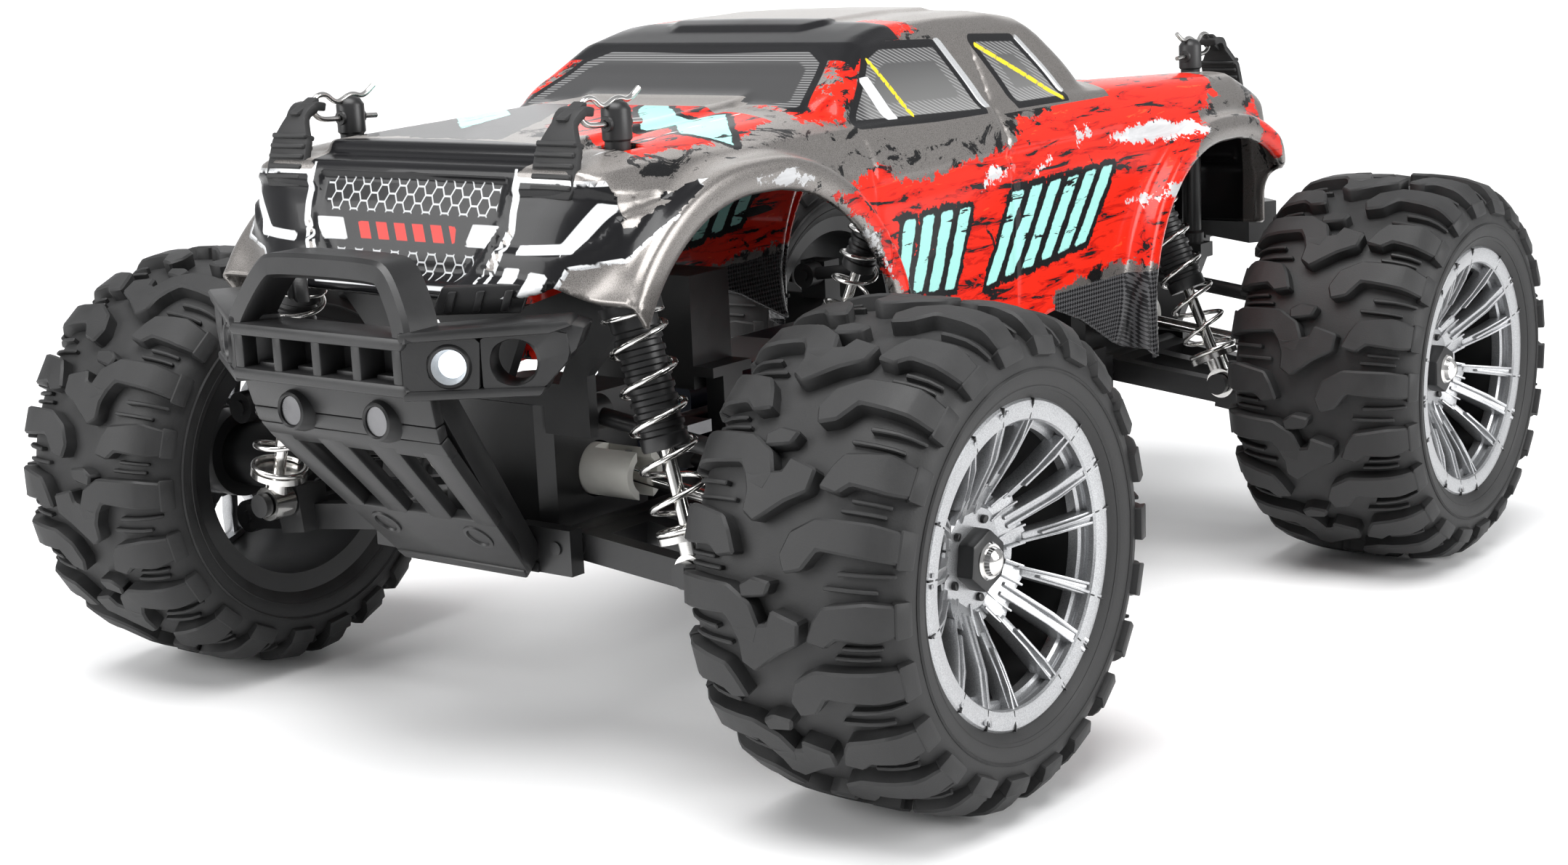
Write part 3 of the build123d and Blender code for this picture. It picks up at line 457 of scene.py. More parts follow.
def tyre_mesh():
    """Round-shouldered carcass with two sidewall ridges and repeating tread blocks."""
    bm = bmesh.new()
    outer = [(-x, r) for x, r in CURVE[::-2]] + [(x, r) for x, r in CURVE[1::2]]
    inner = BEAD + [(0, 38.4)] + [(-x, r) for x, r in BEAD[::-1]]
    lathe(bm, outer + inner, segs=120)
    for x, r, w in ((20.9, 30.3, 0.5), (21.75, 33.2, 0.3)):
        ridge = [(x - 0.8, r - w), (x, r - w), (x + 0.3, r), (x, r + w), (x - 0.8, r + w)]
        for side in (-1, 1):
            lathe(bm, [(side * along, radius) for along, radius in ridge], segs=120)
    for k in range(TREAD_PERIODS):
        for side, shift in ((1, 0.0), (-1, 0.5)):
            s = (k + shift) * PERIOD
            lug(bm, LONG_LUG, 3.0, s, side)
            lug(bm, SHORT_LUG, 2.9, s, side)
            for outline, top in SIPES:
                lug(bm, outline, top, s, side, 0.2)
            for outline in SHOULDER_LUGS:
                lug(bm, outline, 3.3, s, side, 0.25)
        lug(bm, CENTRE_LUG, 3.0, k * PERIOD, 1)
        lug(bm, SMALL_LUG, 2.8, k * PERIOD, 1)
    return bm


def on_dish(turn):
    """Maps the wheel's plane to spoke faces: recessed at the hub, flush with the lip outside."""
    c, s = math.cos(turn), math.sin(turn)

    def place(u, v, h):
        return (float(np.interp(math.hypot(u, v), *DISH)) + h, u * s + v * c, u * c - v * s)

    return place


def bar(bm, a, b, width, low, high, place, bevel=0.2):
    """A straight rib from a to b in the wheel's plane, following the dish."""
    a, b = np.array(a, float), np.array(b, float)
    n = np.array([a[1] - b[1], b[0] - a[0]]) / np.linalg.norm(b - a) * width / 2
    mid = (a + b) / 2
    prism(bm, [a - n, mid - n, b - n, b + n, mid + n, a + n], low, high, place, bevel)


def polar(r, degrees):
    return (r * math.cos(math.radians(degrees)), r * math.sin(math.radians(degrees)))


def ring_of(count, radius, start=0.0):
    """Corners of a regular polygon."""
    return [polar(radius, start + 360.0 * k / count) for k in range(count)]


def along_axle(u, v, h):
    return (h, u, v)


def rim_mesh():
    """Lip with a stepped inner ledge and five dished arms that fork into three ridged prongs."""
    bm = bmesh.new()
    lip = [(13.5, 25.0), (17.4, 24.9), (18.2, 24.4), (19.2, 24.4), (19.6, 24.7), (20.0, 26.4), (19.9, 27.8)]
    lathe(bm, lip + [(19.4, 28.4), (18.6, 28.4), (18.2, 26.6), (13.5, 26.4)], segs=160)
    lathe(bm, [(14.6, 23.5), (16.6, 23.3), (17.0, 23.8), (17.2, 25.1), (14.6, 25.1)], segs=160)
    web = [(5.8, -3.4), polar(9.5, -29), polar(12.2, -27), polar(13.4, -21), polar(12.8, -9), (12.4, 0)]
    web += [(u, -v) for u, v in web[-2::-1]]
    for k in range(ARMS):
        place = on_dish(2 * math.pi * k / ARMS)
        prism(bm, web, -3.4, -0.5, place, 0.45)
        for way in (-1, 1):
            bar(bm, polar(12.4, way * 22.5), polar(24.8, way * 20.6), 1.9, -3.2, -0.2, place, 0.3)
            bar(bm, polar(14.8, way * 21.0), polar(27.4, way * 19.6), 0.55, -1.0, 0.75, place, 0.15)
            bar(bm, polar(11.5, way * 25.5), polar(24.4, way * 23.2), 0.5, -3.0, 0.35, place, 0.15)
            bar(bm, polar(9.4, way * 30), polar(12.6, way * 26.0), 0.6, -3.0, 0.15, place, 0.18)
            bar(bm, (9.6, way * 0.95), polar(27.4, way * 1.9), 0.8, -2.9, 0.8, place, 0.2)
            bar(bm, (7.4, way * 2.1), (12.6, way * 2.6), 0.45, -1.2, 0.2, place, 0.12)
            bridge = [polar(9.5, way * a) for a in (42, 36, 30)]
            bridge += [polar(11.3, way * a) for a in (30, 36, 42)]
            prism(bm, bridge, -3.2, -0.9, place, 0.3)
        bar(bm, (9.2, 0), (24.8, 0), 2.4, -3.3, 0.1, place, 0.3)
    lathe(bm, [(5.4, 4.6), (5.4, 9.6), (9.6, 9.6), (10.2, 8.8), (10.2, 4.6)])
    return bm


def rim_dark_mesh():
    """The black parts of a wheel: inner barrel, lip grooves, hub cap ring and screw pockets."""
    bm = bmesh.new()
    barrel = [(-18.8, 24.0), (-19.4, 27.9), (-18.6, 27.9), (-18.0, 26.6), (15.0, 26.3), (15.0, 24.8)]
    barrel += [(-10.0, 23.6)]
    lathe(bm, barrel, segs=96)
    lathe(bm, [(-2.0, 4.4), (-2.0, 9.4), (0.5, 9.6), (6.9, 8.8), (6.9, 4.4)])
    for k in range(3 * ARMS):
        turn = 2 * math.pi * (k // 3) / ARMS + math.radians((-19, 0, 19)[k % 3])
        prism(bm, rect(24.7, 28.2, -0.16, 0.16), -1.0, 0.62, on_dish(turn), 0.04)
    prism(bm, ring_of(6, 5.6, 12), 8.5, 13.4, along_axle, 0.7)
    for k in range(ARMS):
        pocket = [(7.0 + u, v) for u, v in ring_of(8, 0.8)]
        prism(bm, pocket, -0.8, 0.9, on_dish(2 * math.pi * (k + 0.5) / ARMS), 0.2)
    return bm


def wheel_nut_mesh():
    """Chromed nut, stub axle, drive cup and hex of a wheel."""
    bm = bmesh.new()
    nut = [(11.6, 0), (11.6, 3.3), (13.6, 3.3), (14.0, 3.0), (14.0, 2.6), (14.9, 2.3), (15.6, 1.4), (15.8, 0)]
    cup = [(-19.0, 3.4), (-19.0, 4.6), (-10.0, 4.6), (-9.7, 4.2), (-9.7, 0), (-10.8, 0), (-10.8, 3.4)]
    lathe(bm, nut, segs=36)
    lathe(bm, [(-9.8, 0), (-9.8, 2.0), (12.0, 2.0), (12.0, 0)], segs=32)
    lathe(bm, cup, segs=48)
    prism(bm, ring_of(6, 6.0), 0.0, 6.4, along_axle, 0.3)
    return bm


WHEEL_PARTS = (
    ("tyre", tyre_mesh, "tyre_rubber", 34), ("rim", rim_mesh, "silver_rim", 28),
    ("rim_dark", rim_dark_mesh, "black_nylon", 30), ("wheel_nut", wheel_nut_mesh, "bright_steel", 30),
)


def wheels():
    """Builds each wheel part once and sets it at the four corners, mirrored on the right."""
    for name, make, mat, sharp in WHEEL_PARTS:
        left = to_object("shape_" + name, make(), mat, sharp)
        mirrored = left.data.copy()
        mirrored.transform(Matrix.Diagonal((-1, 1, 1, 1)))
        mirrored.flip_normals()
        for end, y in (("front", FRONT_Y), ("rear", REAR_Y)):
            for side, sign in SIDES:
                corner = end + "_" + side
                mesh = (left.data if sign > 0 else mirrored).copy()
                turn = Matrix.Rotation(WHEEL_TURN[end], 4, "X")
                mesh.transform(Matrix.Translation(Vector((sign * WHEEL_X, y, AXLE_Z)) * MM) @ turn)
                obj = link_object(f"{corner}_{name}_look", mesh)
                attach(obj, corner + "_wheel", corner + ("_tyre" if name == "tyre" else "_rim"))
        bpy.data.objects.remove(left)


# Suspension springs and ribbed shock bodies -------------------------------------------------------
SHOCKS = {
    "front": (FRONT_Y - 20, (40.0, 97.0), (55.0, 41.0), 11.67),
    "rear": (REAR_Y - 20, (33.0, 95.0), (57.0, 41.0), 11.92),
}
COILS = 7.0
COIL_RADIUS = 5.2
COIL_STEPS = 260
COIL_GAP = 0.55
UPPER_SEAT = -11.6
FOOT_TO_SEAT = 7.15
SEAT_TURN = 0.11
RIB = ((-33.6, 4.3), (-33.3, 3.9), (-32.5, 3.9), (-32.2, 4.3))
RIB_PITCH = 2.2
RIBS = [(z + RIB_PITCH * k, r) for k in range(9) for z, r in RIB]
CYLINDER = [(-36.0, 0), (-36.0, 4.1), (-35.5, 4.3), *RIBS, (-12.2, 4.3), (-12.2, 5.65), (-11.5, 5.65)]
CYLINDER += [(-10.0, 5.65), (-10.0, 4.9), (-8.8, 4.9), (-8.3, 5.2), (-5.4, 5.2), (-4.6, 4.4), (-4.0, 2.4)]
CYLINDER += [(-4.0, 0)]
EYE = [(-2.5, 1.6), (-2.5, 3.0), (-2.1, 3.4), (2.1, 3.4), (2.5, 3.0), (2.5, 1.6)]
GRIPS = 12


def spring_path(frame_at, low, high):
    """Points of a coil whose end turns lie flat on their seats."""
    path = []
    for k in range(COIL_STEPS + 1):
        f = k / COIL_STEPS
        rise = min(1.0, max(0.0, (f - SEAT_TURN) / (1 - 2 * SEAT_TURN)))
        z = low + COIL_GAP + (high - low - 2 * COIL_GAP) * rise
        a = 2 * math.pi * COILS * f
        path.append(frame_at @ Vector((COIL_RADIUS * math.sin(a), COIL_RADIUS * math.cos(a), z)))
    return path


def shock_body(bm):
    lathe(bm, CYLINDER, axis="z", segs=40)
    for k in range(GRIPS):
        grip = bmesh.new()
        prism(grip, rect(4.9, 5.5, -0.5, 0.5), -8.2, -5.6, flat_xyz, 0.15)
        grip.transform(Matrix.Rotation(2 * math.pi * k / GRIPS, 4, "Z"))
        add_mapped(bm, grip, flat_xyz)
    lathe(bm, EYE, axis="y", segs=32)


def springs():
    for end, (y, top, foot, travel) in SHOCKS.items():
        low, high = FOOT_TO_SEAT - math.dist(top, foot), UPPER_SEAT
        for side, sign in SIDES:
            corner = f"{end}_{side}"
            axis = Vector((sign * (top[0] - foot[0]), 0, top[1] - foot[1])).normalized()
            across = Vector((0, 1, 0))
            turned = Matrix((axis.cross(across), across, axis)).transposed().to_4x4()
            seat = Vector((sign * top[0], y, top[1]))
            frame_at = Matrix.Translation(seat) @ turned
            bm = bmesh.new()
            tube(bm, spring_path(frame_at, low, high), 0.55)
            obj = to_object(corner + "_shock_spring_look", bm, "bright_steel", 60)
            attach(obj, corner + "_damper", corner + "_shock_spring")
            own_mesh(obj)
            bm = bmesh.new()
            shock_body(bm)
            bm.transform(frame_at)
            obj = to_object(corner + "_shock_cylinder_look", bm, "black_nylon", 30)
            attach(obj, corner + "_damper", corner + "_shock_cylinder")


# Body shell: a smooth implicit solid is meshed, opened underneath and given a wall ----------------
SIDE_VIEW = [(-134, 89), (-128.5, 93), (-126, 104), (-123, 111.2), (-112, 113.2), (-62, 116), (40, 113)]
SIDE_VIEW += [(104, 110.2), (116, 103), (119.5, 85), (119.5, 20), (-134, 20)]
PLAN_VIEW = [(0, -134), (27, -133), (34, -130), (47, -121), (51, -112), (50.3, -50), (48.5, 0), (48.8, 45)]
PLAN_VIEW += [(50.5, 88), (48, 114), (44, 119.5), (0, 119.5)]
FRONT_VIEW = [(0, 20), (40, 20), (46.5, 52), (50.6, 66), (51, 84), (50.3, 97), (47.8, 104), (43.5, 111)]
FRONT_VIEW += [(37, 115), (28, 118.5), (0, 118.5)]
CAB_SIDE = [(-63, 112), (-45, 121), (-36, 126.6), (-24, 130.2), (-4, 131.3), (14, 130.6), (24, 128.2)]
CAB_SIDE += [(29, 124.5), (45, 108), (45, 60), (-63, 60)]
CAB_FRONT = [(0, 60), (46, 60), (45.2, 104), (43.6, 110.5), (36.6, 126.2), (33.5, 129.6), (28, 131.0)]
CAB_FRONT += [(0, 131.9)]
CAB_PLAN = [(0, -66), (22, -64.5), (38, -58), (42, -50), (45, -20), (45, 20), (42, 45), (0, 46)]
ROOF_PANEL = [(-30, -30), (17, -30), (21, -26), (21, 12), (17, 16), (-30, 16)]
GRILLE_POCKET = [(-30, 91), (16, 91), (20, 96), (24, 102), (24.5, 109.5), (-30, 110)]
LAMP_POCKET = [(21.5, 97.0), (37, 96.5), (44, 99), (49, 105.5), (42, 108), (24, 107.5)]
TAIL_PANEL = [(-30, 88), (38, 88), (36, 104), (-30, 104.5)]
SHUT_LINES = ([(-47.6, 108.0), (-50.5, 84.0)], [(0.5, 127), (0.5, 118), (0.5, 70)])
HEM = [(-134, 88), (-127.5, 91.5), (-122, 84.5), (-60, 60), (-50.5, 57), (-46, 57.5), (15, 66.5)]
HEM += [(27, 62.3), (50.5, 50.5), (64, 60), (108, 74), (119.5, 72)]
FRONT_ARCH = (-87.0, 67.0, 36.5)
REAR_ARCH = (88.0, 60.0, 35.5)
ARCH_FLAT = 2.0
TAIL_SKIRT_Y = 116.0
POST_HOLES = ((34.0, -106.0), (34.0, 102.0))
POST_HOLE_RADIUS = 3.1
WALL_THICKNESS = 1.1
PROBE = 0.25


def smax(a, b, k):
    """Maximum of two fields with a fillet of width k."""
    h = np.clip(0.5 - 0.5 * (b - a) / k, 0, 1)
    return b * (1 - h) + a * h + k * h * (1 - h)


def smin(a, b, k):
    return -smax(-a, -b, k)


def sheet(u, v, outline, res=0.5):
    """Signed distance to an outline, sampled on a fine lattice once and then looked up."""
    lo = np.min(outline, axis=0) - 30.0
    hi = np.max(outline, axis=0) + 30.0
    nu, nv = (int(math.ceil((h - l) / res)) + 1 for l, h in zip(lo, hi))
    gu, gv = np.meshgrid(lo[0] + res * np.arange(nu), lo[1] + res * np.arange(nv), indexing="ij")
    table = signed_distance(np.stack([gu.ravel(), gv.ravel()], 1), outline).reshape(nu, nv)
    fu = np.clip((u - lo[0]) / res, 0, nu - 1.001)
    fv = np.clip((v - lo[1]) / res, 0, nv - 1.001)
    iu, iv = fu.astype(int), fv.astype(int)
    tu, tv = fu - iu, fv - iv
    low = table[iu, iv] * (1 - tu) + table[iu + 1, iv] * tu
    high = table[iu, iv + 1] * (1 - tu) + table[iu + 1, iv + 1] * tu
    return low * (1 - tv) + high * tv


def both_sides(outline):
    return [*outline, *((-u, v) for u, v in outline[::-1] if abs(u) > 1e-6)]


def arch_distance(y, z, arch):
    """Distance outside a wheel arch whose sides run straight down below its centre."""
    centre_y, centre_z, radius = arch
    dy = np.abs(y - centre_y)
    return np.hypot(np.maximum(dy - ARCH_FLAT, 0), np.maximum(z - centre_z, 0)) - radius


def main_volume(ax, y, z):
    """The body below the cab with its arch flares."""
    side = sheet(y, z, SIDE_VIEW)
    body = smax(side, sheet(ax, y, both_sides(PLAN_VIEW)), 5.0)
    body = smax(body, sheet(ax, z, both_sides(FRONT_VIEW)), 4.0)
    front, rear = arch_distance(y, z, FRONT_ARCH), arch_distance(y, z, REAR_ARCH)
    flare = np.minimum(np.abs(front - 3.2) - 3.2, np.abs(rear - 3.0) - 3.0)
    flare = smax(flare, ax - 53.8 + 0.03 * (z - 70), 2.5)
    flare = smax(flare, smax(side + 3.0, 30 - ax, 2.0), 3.0)
    return smin(body, flare, 3.0)


def add_hood(body, ax, y, z):
    """Raised hood that narrows forward, with a step down to the fenders and a crease beside it."""
    half = 22 + 0.12 * (-62 - y)
    hood = smax(ax - half, z - (116.9 - 0.045 * (-62 - y)), 1.6)
    hood = smax(hood, np.maximum(-118 - y, y + 40), 2.0)
    body = smin(body, smax(hood, 95 - z, 1.0), 1.2)
    on_hood = (y < -58) * (y > -117) * (z > 108)
    return body + 0.35 * np.exp(-(((ax - half - 1.6) / 0.9) ** 2)) * on_hood


def sink(body, depth, distance, fade, where):
    """Sets a panel back by depth, with its edge faded over a width."""
    return body + depth * np.clip(-distance / fade, 0, 1) * where


def shell_field(x, y, z):
    """Negative inside the truck's body volume, about one unit per millimetre."""
    ax = np.abs(x)
    body = add_hood(main_volume(ax, y, z), ax, y, z)
    body = sink(body, 0.9, sheet(ax, z, GRILLE_POCKET), 1.2, y < -112)
    body = sink(body, 0.8, sheet(ax, z, LAMP_POCKET), 1.2, y < -95)
    bed = smax(smax(ax - 34, np.maximum(48 - y, y - 107), 2.0), 106.5 - z, 1.0)
    body = smax(body, -bed, 1.6)
    tail = smax(sheet(ax, z, TAIL_PANEL), 117.6 - y, 0.6)
    body = smax(body, -tail, 1.0)
    cab = smax(sheet(y, z, CAB_SIDE), sheet(ax, z, both_sides(CAB_FRONT)), 3.0)
    cab = smax(cab, sheet(ax, y, both_sides(CAB_PLAN)), 5.0)
    cab = sink(cab, -0.7, sheet(ax, y, ROOF_PANEL), 2.0, z > 122)
    body = smin(body, cab, 1.6)
    for line in SHUT_LINES:
        body = body + 0.45 * np.exp(-((open_distance(y, z, line) / 0.6) ** 2)) * (ax > 38)
    crease = np.abs(z - (99.8 + 0.02 * (y + 40)))
    return body + 0.5 * np.exp(-((crease / 1.2) ** 2)) * (ax > 46) * (np.abs(y) < 48)


def open_distance(u, v, line):
    """Unsigned distance to an open polyline."""
    best = np.full(np.shape(u), 1e9)
    for (au, av), (bu, bv) in zip(line[:-1], line[1:]):
        e = (bu - au, bv - av)
        t = np.clip(((u - au) * e[0] + (v - av) * e[1]) / (e[0] ** 2 + e[1] ** 2), 0, 1)
        best = np.minimum(best, np.hypot(u - au - t * e[0], v - av - t * e[1]))
    return best


def cut_field(y, z):
    """Positive where the shell is open: below the hem and inside the arches."""
    front = -arch_distance(y, z, FRONT_ARCH)
    rear = np.minimum(-arch_distance(y, z, REAR_ARCH), TAIL_SKIRT_Y - y)
    below = np.interp(y, [p[0] for p in HEM], [p[1] for p in HEM]) - z
    return np.maximum(np.maximum(front, rear), below)


def crossings(field):
    """Mean crossing point of the surface in each live lattice cell, in cell units, and the live cells."""
    shape = tuple(n - 1 for n in field.shape)
    total = np.zeros(shape + (3,))
    count = np.zeros(shape)

    def shifted(c):
        return field[tuple(slice(start, start + n) for start, n in zip(c, shape))]

    corners = [(i, j, k) for i in (0, 1) for j in (0, 1) for k in (0, 1)]
    for a, axis in [(a, axis) for a in corners for axis in range(3) if not a[axis]]:
        fa, fb = shifted(a), shifted(tuple(v + (i == axis) for i, v in enumerate(a)))
        hit = (fa < 0) != (fb < 0)
        t = np.where(hit, fa / np.where(hit, fa - fb, 1), 0)
        for i in range(3):
            total[..., i] += hit * (a[i] + (t if i == axis else 0))
        count += hit
    live = count > 0
    return total[live] / count[live][:, None], live


def surface_net(step):
    """Naive surface nets over the +X half of the shell field; returns vertices and quads."""
    spans = ((-step, 58), (-138, 124), (44, 136))
    field = shell_field(*np.meshgrid(*(np.arange(*span, step) for span in spans), indexing="ij"))
    inside = field < 0
    offsets, live = crossings(field)
    shape = live.shape
    index = np.full(shape, -1)
    index[live] = np.arange(live.sum())
    verts = (np.argwhere(live) + offsets) * step + np.array([span[0] for span in spans])
    quads = []
    for axis in range(3):
        u, v = (axis + 1) % 3, (axis + 2) % 3
        lo = [slice(1, s) for s in shape]
        lo[axis] = slice(0, shape[axis])
        hi = list(lo)
        hi[axis] = slice(1, shape[axis] + 1)
        a, b = inside[tuple(lo)], inside[tuple(hi)]
        where = np.argwhere(a != b)
        flip = a[tuple(where.T)]
        base = where + np.array([0 if i == axis else 1 for i in range(3)])
        ring = []
        for du, dv in ((0, 0), (-1, 0), (-1, -1), (0, -1)):
            at = base.copy()
            at[:, u] += du
            at[:, v] += dv
            ring.append(index[tuple(at.T)])
        quad = np.stack(ring, 1)
        quad[~flip] = quad[~flip][:, ::-1]
        quads.append(quad)
    quads = np.concatenate(quads)
    return verts, quads[(quads >= 0).all(1)]


def settle(verts, rounds=3):
    """Moves points onto the shell's surface along its gradient."""
    for _ in range(rounds):
        nudges = PROBE * np.eye(3)
        value = shell_field(*verts.T)
        slopes = [shell_field(*(verts + d).T) - shell_field(*(verts - d).T) for d in nudges]
        grad = np.stack(slopes, 1) / (2 * PROBE)
        size = np.maximum((grad ** 2).sum(1), 0.2)
        verts = verts - np.clip(value / size, -0.8, 0.8)[:, None] * grad
    return verts


def trim_to_cut(verts, quads):
    """Slides border vertices along the skin to the hem and arch curves, so that the edge is clean."""
    edges = np.sort(np.concatenate([quads[:, [i, (i + 1) % 4]] for i in range(4)]), axis=1)
    uniq, counts = np.unique(edges, axis=0, return_counts=True)
    border = np.unique(uniq[counts == 1])
    border = border[verts[border, 0] > 0.3]
    border = border[cut_field(*verts[border, 1:].T) > -3.0]
    points = verts[border]
    for _ in range(4):
        y, z = points[:, 1:].T
        value = cut_field(y, z) + 0.02
        gy = (cut_field(y + PROBE, z) - cut_field(y - PROBE, z)) / (2 * PROBE)
        gz = (cut_field(y, z + PROBE) - cut_field(y, z - PROBE)) / (2 * PROBE)
        move = np.clip(value / np.maximum(gy ** 2 + gz ** 2, 0.2), -1.2, 1.2)
        points = points - np.stack([np.zeros_like(gy), move * gy, move * gz], 1)
        points = settle(points, 1)
    verts = verts.copy()
    verts[border] = points
    return verts


def shell_mesh(step):
    """Open outer skin of the shell as (vertices, quads) in millimetres, both halves."""
    verts, quads = surface_net(step)
    verts = settle(verts)
    verts[:, 0] = np.where(np.abs(verts[:, 0]) < 0.55 * step, 0.0, verts[:, 0])
    keep = (verts[quads][:, :, 0] >= 0).all(1)
    keep &= (cut_field(*verts[:, 1:].T)[quads] < 0).all(1)
    on_top = verts[quads][:, :, 2].mean(1) > 90
    for x, y in POST_HOLES:
        hole = np.hypot(verts[:, 0] - x, verts[:, 1] - y) < POST_HOLE_RADIUS
        keep &= ~(hole[quads].any(1) & on_top)
    quads = quads[keep]
    used, quads = np.unique(quads, return_inverse=True)
    quads = quads.reshape(-1, 4)
    verts = trim_to_cut(verts[used], quads)
    other = verts * np.array([-1, 1, 1])
    return np.concatenate([verts, other]), np.concatenate([quads, quads[:, ::-1] + len(verts)])


# Shell paint: per-vertex distances to each painted outline, thresholded with noise in the shader --
RED_SIDE = [(-68.7, 101.2), (-61.8, 100.9), (-53.7, 101.6), (-45.3, 103.8), (-39.9, 100.6), (-32.3, 99.2)]
RED_SIDE += [(-24.4, 100.5), (-16.3, 101.8), (-5.9, 101.9), (2.7, 103.3), (7.2, 107.5), (20.6, 108.6)]
RED_SIDE += [(30, 118), (96, 118), (91.4, 106.2), (83.1, 103.6), (77.7, 100.9), (69.6, 94.1), (64.2, 83.8)]
RED_SIDE += [(60.1, 75.4), (57.4, 71.3), (38.8, 73.3), (15.2, 70.5), (15, 60), (-4.7, 60), (-46, 56)]
RED_SIDE += [(-50, 70), (-48.2, 80.5), (-52.6, 84.3), (-54.8, 91.6), (-60.8, 97.1)]
RED_TAIL = [(101, 100), (109, 104), (112, 90), (104, 84)]
RED_HOOD = [(13.3, -101.6), (-12.4, -69.4), (-30, -60), (-4.8, -55), (33.6, -53.2), (41.2, -81.6)]
RED_HOOD += [(40.8, -108.7)]
RED_CAB = [(-60, 113.5), (-44, 121.5), (-34, 127.8), (-20, 131), (-14, 128.0), (-32, 125.8), (-40, 120.5)]
RED_CAB += [(-50, 112)]
# Outline of a painted dark reflection on the glossy hood: the colour is darkened there to stand for dark
# surroundings mirrored in it.
DARK_REFLECTION_HOOD = [(-32, -112), (8, -112), (2, -96), (-12, -72), (-12, -56), (-40, -54), (-41, -100)]
CARBON_SIDE = [(15.1, 69.9), (57.4, 70.7), (54.6, 62.8), (50.5, 48), (27.6, 58), (15, 62)]
CARBON_HOOD = [(-0.1, -110.5), (-25.6, -68.5), (-16.7, -60.3), (-0.7, -88.4), (11.2, -112.1)]
WHITE_SIDE = (
    [(-9.7, 99.5), (0.9, 98.9), (-5.6, 96.2), (-13, 95.3)],
    [(10.2, 98.5), (16.3, 99), (15.1, 97.4), (8.4, 95.8)],
    [(26.2, 104.5), (33.8, 103.8), (34.9, 101.3), (26.1, 100.4)],
    [(45.3, 86.1), (64.3, 89.5), (64.2, 85.7), (51.4, 84.7)],
    [(37.3, 101.1), (55.7, 103), (75.1, 101.8), (77.7, 99), (64.5, 97.7), (46.9, 98.3)],
    [(-59.2, 93.8), (-55.7, 92.8), (-49.9, 82.9), (-52.5, 85.4)],
    [(-92, 106.5), (-80, 107.5), (-72, 104.5), (-84, 104)],
)
STRIPE_ROWS = (
    ([(-46.0, 92.8), (-14.0, 92.6), (-17.5, 76.0), (-45.0, 78.8)], 4),
    ([(-8.5, 93.2), (43.1, 95.0), (38.5, 80.5), (-12.0, 75.6)], 6),
)
STRIPE_SHARE = 0.62
STRIPE_LEAN = 0.16
MINT_HOOD = (
    [(-35.6, -76.9), (-30.7, -67.6), (-14.9, -81.9), (-9.8, -100.7)],
    [(8.8, -71.1), (1.5, -56), (26.2, -79.8), (26.3, -90.9)],
    [(23.1, -77.3), (28.2, -68.8), (42.7, -84.5), (34.4, -89.7)],
)
WINDOWS = (
    [(-46.1, 112.1), (-35.6, 123.6), (-30.8, 125.2), (-12.2, 124.4), (-3.7, 110.7)],
    [(2.2, 124.5), (16.7, 123.6), (28.5, 110.8), (10.1, 110.9)],
)
WINDSHIELD = [(-30, -62.5), (21, -61), (36, -55.5), (31.0, -41.5), (26, -38.2), (-30, -39.5)]
REAR_GLASS = [(-30, 40.5), (29, 40.0), (26, 29.5), (-30, 29.5)]
WHITE_BARS = (
    [(-41, 120), (-37.7, 120.2), (-32.6, 111.6), (-36.4, 111.7)],
    [(-11.4, 125.8), (-9.2, 125.8), (-0.4, 111.1), (-2.8, 111.1)],
    [(17.6, 124.4), (19.2, 124.6), (30.4, 111.9), (28.4, 111.6)],
)
YELLOW_BARS = ([(-35.7, 123.1), (-27.7, 112)], [(2.9, 123.5), (27.6, 110.6)])
HEX_ZONES = (
    [(-22, 108.5), (22, 108.5), (22, 102.6), (-21, 102.6)],
    [(-19.8, 96.0), (19.8, 96.0), (14.8, 91.6), (-14.8, 91.6)],
)
GRILLE = [(-25.5, 111.6), (25.5, 111.6), (25.5, 101), (19.5, 90.5), (-19.5, 90.5), (-25.5, 101)]
LAMP = [(26.5, 109.2), (47.6, 108.7), (54.7, 106.3), (48.4, 96), (38.7, 94.5), (34.5, 86.8), (20.5, 86.8)]
LAMP += [(26.5, 100.5)]
FACE_LIGHTS = (
    [(28.5, 98.3), (37.0, 98.7), (43.0, 105.6), (46.2, 104.8), (39.4, 97.1), (28.0, 96.7)],
    [(23.4, 101.3), (16.6, 101.3), (14.9, 97.4), (20.6, 97.4)],
    [(26, 94.5), (29.5, 94.5), (27.6, 88), (24.4, 88)],
    [(31.5, 94.0), (35.4, 93.6), (33.2, 87.6), (29.8, 87.8)],
)
FACE_Y = -97
HOOD_END_Y = -45


def leaning_stripes(zone, count):
    """Splits a four-cornered zone into equal stripes, all leaning the same way."""
    top_left, top_right, low_right, low_left = (np.array(p) for p in zone)
    stripes = []
    for start in np.arange(count) / count:
        shares = (start, start + STRIPE_SHARE / count)
        top = [top_left + (top_right - top_left) * (STRIPE_LEAN + (1 - STRIPE_LEAN) * s) for s in shares]
        low = [low_left + (low_right - low_left) * (1 - STRIPE_LEAN) * s for s in reversed(shares)]
        stripes.append([*top, *low])
    return stripes


def only(mask, distance):
    """A distance where the mask holds, and far outside elsewhere."""
    return np.where(mask, distance, FAR)


def nearest(*distances):
    return np.min(distances, axis=0)


def within(*distances):
    return np.max(distances, axis=0)


